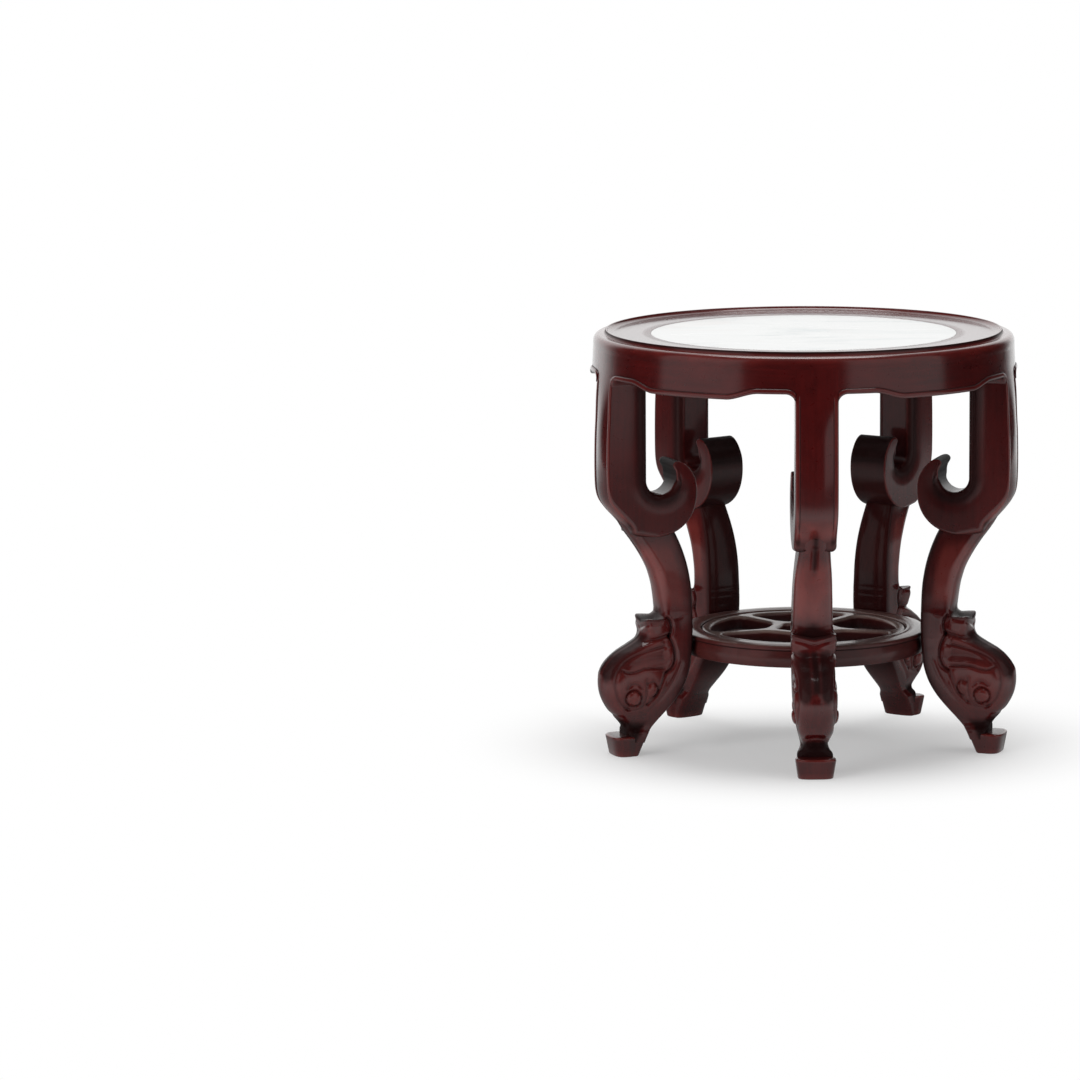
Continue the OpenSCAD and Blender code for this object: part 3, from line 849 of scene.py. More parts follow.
@dataclass
class Leg:
    """The five legs, each carved from one plank: upper board, hooked scroll, stem, fish and foot block."""

    width: float = 25.4
    seat_z: float = 244.0
    apron_z: float = 230.0
    straight_z: float = 168.0
    back_r: float = 104.6
    curve_r: float = 128.5
    bead_w: float = 2.4
    bead_h: float = 0.6
    bulge: float = 1.2
    edge_r: float = 1.15
    edge_min: float = 0.03
    toe_r: float = 2.2
    tip_at: tuple[float, float] = (86.6, 175.6)
    slot_at: tuple[float, float] = (95.45, 167.4)
    slot_reach: float = 9.15
    slot_r: float = 4.0
    heel_r: float = 2.6
    heel_power: float = 2.2
    block_nose: tuple[float, float] = (6.4, 3.1)
    block_heel: tuple[float, float] = (3.0, 2.6)
    dish: float = 0.5
    dish_reach: float = 4.2
    # Spans of height with paler red on the knee, the stem and the fish: rubbing, and painted highlights.
    knee_wear_and_highlight: Span = (138.0, 144.0, 148.0, 158.0)
    shank_wear_and_highlight: Span = (88.0, 97.0, 119.0, 130.0)
    shank_side_wear_and_highlight: Span = (86.0, 97.0, 122.0, 132.0)
    fish_wear_and_highlight: Span = (22.0, 32.0, 68.0, 78.0)
    along: int = 200
    scroll_points: int = 104
    rows: int = 325
    outer_cols: int = 46
    side_cols: int = 56
    inner_cols: int = 26

    # Places of the columns across the board's sides, as shares, and of the rows across its faces, in mm
    ACROSS: ClassVar[tuple] = (
        0, 0.02, 0.05, 0.1, 0.17, 0.26, 0.36, 0.46, 0.55, 0.63, 0.7, 0.76, 0.81, 0.85, 0.885, 0.915,
        0.94, 0.96, 0.98, 1.0)
    FLAT: ClassVar[tuple] = (
        11.3, 11.0, 10.75, 10.55, 10.4, 10.25, 10.1, 9.95, 9.8, 9.6, 9.2, 8.4, 7.2, 5.8, 4.4, 3.1,
        2.0, 1.1, 0.4)
    # Outline of the board in radius and height
    FACE: ClassVar[Path] = (
        (127.6, 244), (127.9, 238), (128.2, 232), (128.9, 226), (130.3, 214), (131.5, 198), (131.9, 184),
        (131.9, 172), (131.4, 161), (129.6, 154.4), (125.8, 148.8), (120.2, 142.4), (114.8, 136.2))
    SCROLL: ClassVar[Path] = (
        (113.6, 135.0), (111.0, 133.9), (104.0, 133.2), (96.0, 133.3), (88.8, 135.0), (83.2, 138.0),
        (78.6, 142.4), (75.4, 147.8), (73.6, 154.0), (73.2, 161.0), (74.2, 167.2), (77.2, 172.8),
        (81.0, 176.6), (84.2, 178.2))
    TIP: ClassVar[Path] = (
        (84.2, 178.2), (86.2, 178.3), (87.9, 177.4), (88.5, 175.9), (87.9, 174.3), (86.9, 172.6),
        (86.3, 170.2), (86.3, 167.4))
    # Sections of the stem and fish: radius and height of the outer edge, the same of the inner edge, half
    # width, depth and power of the outer end, half width of the inner end
    STATIONS: ClassVar[tuple] = (
        (119.8, 144.4, 90.0, 143.0, 9.0, 7, 2.3, 9.6), (115.6, 137.6, 86.5, 137.4, 9.2, 7, 2.4, 9.6),
        (110.7, 131.0, 83.2, 130.8, 9.7, 7, 2.5, 9.9), (106.4, 124.6, 80.8, 125.0, 10.3, 7, 2.5, 10.4),
        (102.9, 118.6, 78.8, 119.0, 10.9, 7, 2.5, 10.9), (100.2, 113.0, 77.3, 113.2, 11.3, 7, 2.5, 11.3),
        (98.4, 107.5, 76.2, 107.4, 11.5, 7, 2.5, 11.6), (97.1, 102.0, 75.4, 101.6, 11.7, 7, 2.5, 11.8),
        (96.2, 96.4, 75.0, 95.8, 11.8, 7, 2.5, 12.0), (95.3, 90.6, 74.8, 90.2, 11.9, 6, 2.6, 12.1),
        (94.7, 86.8, 74.7, 87.0, 12.0, 5, 2.8, 12.2), (95.0, 84.6, 74.7, 85.2, 12.3, 4, 3.0, 12.3),
        (97.4, 82.9, 74.6, 83.8, 12.7, 4, 3.4, 12.3), (101.0, 83.0, 74.6, 82.2, 13.0, 3, 4.0, 12.3),
        (103.6, 83.4, 74.6, 80.8, 13.1, 3, 4.0, 12.3), (104.9, 83.3, 74.5, 79.8, 13.1, 3, 4.0, 12.3),
        (105.4, 81.8, 74.5, 78.8, 13.1, 3, 4.0, 12.3), (105.4, 79.2, 74.5, 77.0, 13.0, 4, 3.4, 12.3),
        (105.4, 76.4, 74.5, 75.0, 12.8, 5, 2.8, 12.3), (105.9, 73.7, 74.6, 73.0, 12.7, 7, 2.4, 12.3),
        (107.4, 71.2, 74.7, 71.0, 12.6, 9, 2.2, 12.3), (110.3, 68.9, 74.8, 68.4, 12.6, 11, 2.1, 12.3),
        (115.5, 66.0, 75.1, 64.4, 12.7, 13, 2.1, 12.2), (121.0, 63.1, 75.4, 60.0, 12.7, 14, 2.1, 12.2),
        (125.9, 59.3, 75.8, 55.4, 12.7, 14, 2.1, 12.1), (129.6, 54.8, 76.8, 50.4, 12.7, 14, 2.1, 12.0),
        (131.6, 49.4, 78.4, 45.4, 12.6, 14, 2.1, 11.9), (132.0, 43.9, 80.6, 40.6, 12.4, 13, 2.1, 11.7),
        (131.1, 37.9, 83.7, 35.6, 12.1, 12, 2.1, 11.4), (129.1, 32.7, 87.3, 31.0, 11.5, 11, 2.1, 11.0),
        (126.0, 27.7, 91.4, 26.2, 10.4, 9, 2.2, 10.0), (122.2, 23.3, 95.4, 21.8, 8.7, 8, 2.3, 9.0),
        (118.9, 19.6, 98.7, 18.0, 7.2, 6, 2.4, 8.2), (117.2, 17.2, 100.8, 15.6, 8.0, 5, 2.7, 8.7),
        (116.8, 15.4, 102.0, 13.8, 9.8, 4, 3.2, 9.7), (116.6, 13.4, 103.0, 12.2, 10.6, 4, 3.4, 10.3),
        (116.6, 9.0, 104.9, 8.0, 10.6, 4, 3.4, 10.4))
    # Carving on the sides, in radius and height, and on the back, in width and height
    SIDE_CUTS: ClassVar[tuple] = (
        Cut(((92.4, 84.0), (90.8, 82.0), (89.8, 78.6), (90.2, 75.2), (91.2, 72.2)), 0.95, 1.5),
        Cut(((91.2, 72.2), (88.9, 67.6), (87.5, 62.2), (87.6, 57.2), (89.4, 53.0), (92.6, 50.6)), 0.95, 1.4),
        Cut(((93.4, 50.6), (95.0, 46.6), (96.6, 42.4), (98.6, 38.4), (101.4, 34.6), (105.0, 31.6)),
            0.85, 0.8),
        Cut(((97.0, 82.0), (101.5, 81.2), (105.8, 81.2)), 1.0, 0.5),
        Cut(((91.6, 73.2), (96.0, 72.2), (101.0, 70.8), (106.4, 69.4)), 1.3, 1.2),
        Cut(((97.0, 69.4), (107.0, 67.2), (115.0, 64.6), (121.7, 60.8), (126.8, 55.4), (129.2, 48.5)),
            1.4, -0.7),
        Cut(((95.0, 66.4), (105.5, 64.0), (113.5, 61.2), (119.6, 57.4), (123.6, 52.0), (125.2, 45.6),
             (124.4, 39.0), (121.6, 33.2), (116.6, 28.8)), 1.0, 0.9),
        Cut(((95.5, 60.0), (104.0, 59.6), (112.0, 58.2), (118.0, 55.8)), 3.2, 0.7),
        Cut(((94.4, 53.0), (101.5, 53.4), (107.4, 53.4), (113.0, 51.8), (117.6, 51.6), (121.0, 53.2)),
            0.9, 1.0),
        Cut(((108.8, 41.8), (111.2, 44.2), (114.6, 44.4), (117.8, 42.2)), 0.9, 0.7),
        Cut(((105.6, 46.4), (105.2, 41.0), (105.8, 35.6), (107.6, 31.8)), 0.9, 0.6),
        Cut(((104.4, 44.2), (101.4, 45.2), (98.9, 43.2), (98.5, 40.0), (100.0, 36.8), (103.0, 35.4)),
            0.8, 0.8),
        Cut(((105.0, 31.6), (109.6, 29.4), (114.0, 28.6), (118.0, 29.6)), 1.1, 0.5),
        Cut(((83.9, 55.2), (87.8, 46.2), (94.0, 37.3), (100.6, 30.4), (104.6, 25.6)), 1.2, 0.25),
        Ring((113.8, 35.8), 4.9, 0.8, 1.0),
        Boss((113.8, 35.8), 4.6, 1.5),
        Boss((101.4, 40.0), 3.6, 0.6),
        Boss((98.8, 77.0), 6.4, 0.6),
        Boss((91.8, 62.0), 4.0, 0.6, 0.8),
        Boss((109.0, 44.0), 13.0, 0.6, 1.2))
    BACK_CUTS: ClassVar[tuple] = (
        Cut(mirrored((-13.5, 77.8), (-6.0, 76.8), (0.0, 75.0)), 1.4, -0.25),
        Cut(mirrored((-13.5, 80.4), (-6.0, 79.4), (0.0, 77.4)), 1.3, 0.35),
        Cut(((0.0, 73.0), (0.0, 66.0), (0.0, 58.0), (0.0, 51.0)), 1.6, -0.3),
        Cut(mirrored((-12.4, 68.0), (-10.4, 60.0), (-7.4, 54.0), (-4.4, 50.4), (0.0, 52.6)), 1.8, -0.25),
        Cut(((-6.0, 69.0), (-5.6, 62.0), (-3.8, 56.0)), 3.0, 0.45),
        Cut(((6.0, 69.0), (5.6, 62.0), (3.8, 56.0)), 3.0, 0.45),
        Cut(mirrored((-6.6, 24.0), (0.0, 25.2)), 1.2, 0.6),
        Cut(((0.0, 138.0), (0.0, 133.0), (0.0, 128.0), (0.0, 124.0)), 1.6, 0.7))
    # Sections of the foot block: height, inner and outer radius, half widths of the outer and inner end
    BLOCK: ClassVar[tuple] = (
        (0.0, 109.4, 123.2, 10.1, 9.6), (0.2, 109.1, 123.6, 10.4, 9.9), (0.7, 108.7, 123.9, 10.6, 10.0),
        (4.0, 107.3, 124.5, 11.1, 10.1), (8.0, 105.6, 125.2, 11.7, 10.2), (10.2, 104.7, 125.6, 12.0, 10.2),
        (11.2, 104.4, 125.7, 12.1, 10.1), (11.7, 104.5, 125.5, 11.9, 9.9), (12.0, 104.7, 125.0, 11.5, 9.7),
        (12.2, 105.3, 124.0, 10.6, 9.4), (12.3, 107.0, 121.8, 9.0, 8.4))

    def outline(self) -> tuple[np.ndarray, int]:
        """Closed outline of the board in radius and height, with as many points round the slot as outside.

        Returns:
            The outline's points, n by 2, which end with those of the outer face, and the number of those.
        """
        scroll, tip = curve(self.SCROLL, self.scroll_points), curve(self.TIP, len(self.ACROSS))
        face = curve(self.FACE, self.along - len(scroll))
        straight = int(np.argmin(np.abs(face[:, 1] - self.straight_z)))
        slot = arc(self.slot_at, self.slot_reach, 180, 360, self.along - straight)
        back = np.linspace((self.back_r, self.straight_z + 0.4), (self.back_r, self.seat_z), straight)
        cap = line(back[-1], (face[0, 0] - 1.5, self.seat_z), len(self.ACROSS) - 1)[1:]
        return np.vstack([face, scroll, tip[1:-1], slot, back, cap])[::-1], len(face)

    def board(self) -> Shell:
        """Upper board with its hooked scroll, in the leg's own plane.

        The closed outline is carried across the width. Near each side it is drawn in on a quarter circle,
        which rounds the edges. On the outer face the outline stands back by the bead's height except along
        both edges, below the aprons. It follows the frame's curve across the width, and lower down swells
        between the beads.

        Returns:
            The board's surface.
        """
        loop, on_front = self.outline()
        normal = outward_normals(loop)
        normal[-1] = (1, 0)
        r, z = loop.T
        on_face = (np.arange(len(loop)) >= len(loop) - on_front).astype(float)
        on_face = smoothed(on_face, 3, "edge") * on_face
        beaded = on_face * ease(z, self.apron_z, 224)
        sharp = self.edge_min + (self.edge_r - self.edge_min) * ease(z, 229, 222)
        edge = np.where(on_face > 0, sharp, self.edge_r)
        edge = edge + self.toe_r * ease(z, 168, 138) * ease(r, 96, 112)
        near_tip = ease(np.hypot(r - self.tip_at[0], z - self.tip_at[1]), 12, 6)
        off_slot = np.abs(np.hypot(r - self.slot_at[0], z - self.slot_at[1]) - self.slot_reach)
        on_slot = (off_slot < 0.4) & (z < self.straight_z)
        on_back = (np.abs(r - self.back_r) < 0.2) & (z < self.apron_z)
        inner = smoothed((on_slot | on_back).astype(float), 7, "wrap")
        edge = edge + (self.slot_r - self.edge_r) * inner * (1 - near_tip)
        edge = np.where(z > 236, self.edge_min, edge) * (1 - 0.3 * near_tip)
        half = self.width / 2 - self.dish * inner * (1 - near_tip)
        squeeze = np.minimum((half - edge) / (half - self.edge_r), 1)
        turn = np.radians(np.linspace(90, 0, 7))[:, None]
        t = np.vstack([half, half - edge * (1 - np.sin(turn)), half - edge - 0.06,
                       np.array(self.FLAT)[:, None] * squeeze])
        inset = np.vstack([edge + 0.2, edge * (1 - np.cos(turn)), np.zeros((len(self.FLAT) + 1, len(loop)))])
        t, inset = np.vstack([t, -t[::-1]]), np.vstack([inset, inset[::-1]])
        wide, reach = np.abs(t), half - self.bead_w - 0.45
        bead = ease(wide, reach, half - self.bead_w + 0.25)
        stand_back = on_face * self.bead_h * (1 - bead * beaded)
        swell = self.bulge * ease(z, self.apron_z, 200) * np.minimum(wide / reach, 1) ** 2
        hollow = on_face * (t**2 / (2 * self.curve_r) + swell)
        at = loop[None] - normal[None] * (inset + stand_back + hollow)[..., None]
        rings = np.stack([at[..., 0], t, at[..., 1]], axis=-1)
        grain = rings[..., [2, 0, 1]].copy()
        corner = np.exp(-((inset - 0.25 * edge) / (0.35 * edge)) ** 2) * (wide > half - edge - 0.01)
        corner = corner * ease(edge, 0.2, 0.8)
        # Painted shade with dark staining in the groove beside each bead of the outer face.
        groove = beaded * np.exp(-((wide - half + self.bead_w + 0.35) / 0.35) ** 2)
        within = ease(half - wide, 0.2, 1.2)
        # Painted shade over the board's faces other than the outer face, strongest on the hook's top.
        rim = (1 - on_face) * within * (0.75 - 0.3 * inner + 0.5 * ease(z, 160, 168) * ease(r, 100, 92))
        # Painted shade in a dark band round the slot and along the back edge.
        rim = np.maximum(rim, 0.85 * inner * ease(inset, 0.05, 0.6))
        # Painted shade under the knee's toe and in a dark streak down the middle of the knee.
        keel = 0.4 * ease(z, 144, 137) + 0.6 * ease(z, 147, 139) * ease(wide, 8.4, 9.8)
        keel = on_face * within * (keel + 0.8 * ease(z, 149, 142) * np.exp(-((t / 3) ** 2)))
        dark_stain_and_shade = np.clip(np.maximum.reduce([0.8 * groove, rim, keel]), 0, 1)
        # Paler red on the knee's front: rubbing, and a painted highlight.
        knee = 0.9 * on_face * band(z, *self.knee_wear_and_highlight)
        worn_and_highlight = 0.5 * corner + within * (0.4 * beaded * bead + knee)
        return self.cheeks(Shell.loft(rings, grain, dark_stain_and_shade, np.clip(worn_and_highlight, 0, 1)))

    def cheeks(self, shell: Shell) -> Shell:
        """Fills the board's flat sides with grids in place of its caps.

        A side is a band from the outer edge to the inner edge round the slot. Its points are (1 - w) a + w b
        between facing points a and b of the two edges, and near the tip they ease into the tip's curve. The
        dish and the painted shade round the slot fade as exp(-(d / reach)^2), d being the distance from the
        inner edge.

        Args:
            shell: The board's surface, whose first and last rings bound the sides.

        Returns:
            The same surface with gridded sides.
        """
        n, w = self.along, np.array(self.ACROSS)
        m, loop = len(w) - 1, 2 * n + 2 * len(w) - 4
        rings = len(shell.points)
        shell.caps = []
        for start, side in ((0, 1), (rings - loop, -1)):
            ring = start + np.arange(loop)[::-1]
            grid = np.empty((n, m + 1), int)
            grid[:, 0], grid[:, m] = ring[:n], ring[n + m - 1:2 * n + m - 1][::-1]
            grid[0, 1:m], grid[-1, 1:m] = ring[2 * n + m - 1:][::-1], ring[n:n + m - 1]
            grid[1:-1, 1:m] = len(shell.points) + np.arange((n - 2) * (m - 1)).reshape(n - 2, m - 1)
            a, b = shell.points[grid[:, :1]], shell.points[grid[:, m:]]
            at = a + (b - a) * w[None, :, None]
            end = ring[n - 1:n + m]
            at += ease(np.arange(n), n - 60, n - 1)[:, None, None] * (shell.points[end] - at[-1])[None]
            fade = np.exp(-(np.linalg.norm(at - b, axis=-1) / self.dish_reach) ** 2)
            at[..., 1] = side * (self.width / 2 - (self.width / 2 - np.abs(b[..., 1])) * fade)
            # Painted shade carried in from the slot's edge and fading across the side.
            dark_stain_and_shade = shell.recess[grid[:, m:]] * fade
            quads = np.stack([grid[:-1, :-1], grid[1:, :-1], grid[1:, 1:], grid[:-1, 1:]], axis=-1)
            quads = quads.reshape(-1, 4)
            inside = at[1:-1, 1:m].reshape(-1, 3)
            shell.points = np.vstack([shell.points, inside])
            shell.grain = np.vstack([shell.grain, inside[:, [2, 0, 1]]])
            shell.recess = np.concatenate([shell.recess, dark_stain_and_shade[1:-1, 1:m].ravel()])
            shell.wear = np.concatenate([shell.wear, np.zeros(len(inside))])
            p, q, r = (shell.points[quads[:, k]] for k in range(3))
            if np.cross(q - p, r - p)[:, 1].sum() * side < 0:
                quads = quads[:, ::-1]
            shell.quads = np.vstack([shell.quads, quads])
        return shell

    def section(self, depth: np.ndarray, half: np.ndarray, nose: np.ndarray, power: np.ndarray,
                heel_half: np.ndarray, heel: float, heel_power: float) -> tuple[np.ndarray, ...]:
        """Sections across the lower leg: sides between two ends that are half superellipses.

        A point of an end at angle a lies k cos a deep and k sin a wide, k being the superellipse's distance.
        The sides ease from one end's width to the other's.

        Args:
            depth: Depth of each section from its inner to its outer edge.
            half: Half width of the outer end.
            nose: Depth of the outer end.
            power: Power p of the outer end.
            heel_half: Half width of the inner end.
            heel: Depth of the inner end.
            heel_power: Power p of the inner end.

        Returns:
            Depth, width and how far each point lies on the outer end, from 0 to 1; rows by columns each.
        """
        depth, half, nose, power, heel_half = (v[:, None] for v in (depth, half, nose, power, heel_half))
        a = np.linspace(-np.pi / 2, np.pi / 2, self.outer_cols, endpoint=False)[None]
        k = superellipse(a, power)
        front = (depth - nose + nose * k * np.cos(a), half * k * np.sin(a), k * np.cos(a))
        b = np.linspace(np.pi / 2, 3 * np.pi / 2, self.inner_cols, endpoint=False)[None]
        k = superellipse(b, heel_power)
        rear = (heel + heel * k * np.cos(b), heel_half * k * np.sin(b), 0 * k * half)
        t = np.linspace(0, 1, self.side_cols, endpoint=False)[None]
        far = (depth - nose) * (1 - t) + heel * t
        near = heel * (1 - t) + (depth - nose) * t
        right = half + (heel_half - half) * ease(t, 0.15, 0.75)
        left = -(heel_half + (half - heel_half) * ease(t, 0.25, 0.85))
        parts = (front, (far, right, 0 * far), rear, (near, left, 0 * near))
        return tuple(np.hstack(part) for part in zip(*(np.broadcast_arrays(*part) for part in parts)))

    def stem(self) -> Shell:
        """Stem and fish in the leg's own plane.

        Sections lie on straight lines between the leg's inner and outer edges. The carving is added to the
        width on the sides, and to the depth on the fish's back, as a sum of grooves, rings and domes.

        Returns:
            The surface, closed inside the scroll and inside the foot block.
        """
        data = curve(self.STATIONS, self.rows)
        outer, inner = data[:, 0:2], data[:, 2:4]
        half, nose, power, heel_half = data[:, 4:].T
        depth = np.linalg.norm(outer - inner, axis=1)
        axis = (outer - inner) / depth[:, None]
        nose = np.minimum(nose, depth * 0.48)
        deep, wide, tip = self.section(depth, half, nose, power, heel_half, self.heel_r, self.heel_power)
        r = inner[:, :1] + axis[:, :1] * deep
        z = inner[:, 1:] + axis[:, 1:] * deep
        outness = np.abs(wide) / half[:, None]
        side, crown = ease(outness, 0.35, 0.95), ease(tip, 0.15, 0.7)
        reliefs = [cut.relief(r, z) for cut in self.SIDE_CUTS]
        carved = sum(reliefs) * side
        backs = [cut.relief(wide, z) for cut in self.BACK_CUTS]
        back = sum(backs) * crown
        dip = 1.9 * np.clip(1 - np.abs(wide) / 11, 0, 1) * ease(r, 95, 99) * ease(z, 76, 82)
        rings = np.stack([r + axis[:, :1] * back, wide + np.sign(wide) * carved,
                          z + axis[:, 1:] * back - dip], axis=-1)
        grain = np.stack([z, r, wide], axis=-1)
        # Painted shade with dark staining in the carved grooves and on the fish's back.
        lines = sum(np.clip(-h, 0, None) for h in reliefs if h.min() < -0.3)
        backs_low = sum(np.clip(-h, 0, None) for h in backs)
        recess = 0.45 * lines * side + 0.45 * backs_low * crown
        # Painted shade on the top of the fish's tail, deepest in its middle where it meets the stem.
        crook = 0.95 * ease(z + 0.45 * np.abs(wide), 92, 85) * ease(z, 81.4, 82.6) * ease(r, 90, 94)
        # Painted shade: a dark streak down the top of the stem's front, and darkness round the neck under the
        # jaw.
        throat = 0.85 * np.exp(-((wide / 2.0) ** 2)) * ease(z, 118, 127) * tip
        throat = np.maximum(throat, ease(z - 3 * tip, 23, 17.5) * ease(deep, 5, 9))
        # Painted shade: a dark hood with a ragged lower edge over the front of the fish's head.
        ragged = z - 3 * np.cos(wide * (2 * np.pi / 14))
        strand = 1 - 0.4 * np.exp(-(((np.abs(wide) - 2.6) / 1.0) ** 2))
        hood = 0.95 * strand * ease(ragged, 46, 51.5) * ease(z, 76, 71.5) * tip
        # Painted shade on the inner side of the fish.
        inside = 0.75 * ease(deep, 7, 2) * ease(z, 20, 40)
        recess = np.clip(np.maximum.reduce([recess, crook, throat, hood]) + inside, 0, 1)
        high = sum(np.clip(h, 0, 0.7) for h in reliefs) * side + sum(np.clip(h, 0, None) for h in backs) * tip
        heel = np.exp(-((deep - self.heel_r * 0.8) / 0.7) ** 2) * side
        # Paler red on the stem's front and sides and on the fish's sides: rubbing, and painted highlights.
        shank = 0.95 * band(z, *self.shank_wear_and_highlight) * ease(outness, 1.0, 0.7)
        shank = np.maximum(shank, 0.95 * band(z, *self.shank_side_wear_and_highlight) * ease(deep, 6, 11))
        body = 0.35 * side * band(z, *self.fish_wear_and_highlight) * ease(deep, 6, 11)
        wear = np.clip(0.4 * high + 0.15 * heel + shank + body, 0, 1) * (1 - recess)
        return Shell.loft(rings, grain, recess, wear)

    def block(self) -> Shell:
        """Foot block in the leg's own plane: a tapered stack of rounded rectangles under a low domed top.

        block_nose and block_heel hold the depth and the power of its outer and inner ends.

        Returns:
            The block's surface.
        """
        z, low, high, half, heel_half = np.array(self.BLOCK).T
        nose, power = (np.full(len(z), value) for value in self.block_nose)
        deep, wide, _ = self.section(high - low, half, nose, power, heel_half, *self.block_heel)
        height = np.broadcast_to(z[:, None], deep.shape)
        rings = np.stack([low[:, None] + deep, wide, height], axis=-1)
        grain = np.stack([height, rings[..., 0], wide], axis=-1)
        wear = np.exp(-((height - 11.7) / 0.5) ** 2) + np.exp(-((height - 0.4) / 0.5) ** 2)
        # Painted shade on the domed top under the fish's neck; the paler rings are rubbing on the top and
        # bottom edges.
        return Shell.loft(rings, grain, 0.4 * ease(height, 11.9, 12.2), np.clip(wear, 0, 1))

    def build(self, finish: bpy.types.Material) -> None:
        """Makes and dresses the five legs."""
        leg = Shell.joined([self.board(), self.stem(), self.block()])
        place_five("carved_leg", "leg", leg, finish, 20)


@dataclass
class ShelfRing:
    """The five segments of the ring that carries the pierced shelf."""

    inner_r: float = 62.3
    outer_r: float = 74.3
    low_z: float = 58.0
    top_z: float = 72.0
    bead_r: float = 1.7
    hollow: float = 1.0
    crown: float = 0.6
    rows: int = 48

    def section(self) -> np.ndarray:
        """Outline in radius and height: a crowned top, an edge bead, a groove and a gently rounded face.

        Returns:
            The outline's points, anticlockwise from the inner lower corner.
        """
        face_top = self.top_z - 2 * self.bead_r - 0.3
        t = np.linspace(0, 1, 18)
        swell = self.outer_r - 0.2 - self.hollow * (2 * t - 1) ** 2
        face = np.stack([swell, self.low_z + 0.3 + (face_top - self.low_z - 0.3) * t], axis=1)
        low = self.top_z - self.crown
        bead = arc((self.outer_r - self.bead_r, low - self.bead_r), self.bead_r, -62, 76, 18)
        r = np.linspace(self.outer_r - self.bead_r - 0.2, self.inner_r + 1.6, 12)
        middle = (self.outer_r + self.inner_r) / 2
        fall = self.crown * ((r - middle) / (self.outer_r - self.bead_r - middle)) ** 2
        top = np.stack([r, self.top_z - fall], axis=1)
        lip = arc((self.inner_r + 0.7, low - 0.5), 0.7, 90, 180, 6)
        under = [(self.inner_r, self.low_z + 0.5), (self.inner_r + 0.5, self.low_z),
                 (self.outer_r - 2, self.low_z)]
        return np.vstack([under, face, bead, top, lip])

    def build(self, finish: bpy.types.Material) -> None:
        """Makes and dresses the five segments: the section is carried along a fifth of a circle."""
        section = self.section()
        rings = fifth(section, self.rows)
        r, z = section.T
        # Painted shade in the groove under the bead and below the top; painted highlight of pale grey on the
        # top, with a little of it everywhere.
        groove = np.exp(-((z - self.top_z + 2 * self.bead_r + 0.2) / 0.5) ** 2) * (r > self.outer_r - 3)
        top = ease(z, self.top_z - 1.8, self.top_z - 0.6)
        recess, wear = np.maximum(groove, 0.25 * (1 - top)), 0.07 + 0.45 * top
        segment = Shell.loft(rings, rings[..., [1, 0, 2]].copy(), recess, wear)
        place_five("shelf_rim", "shelf_ring", segment, finish, 30)


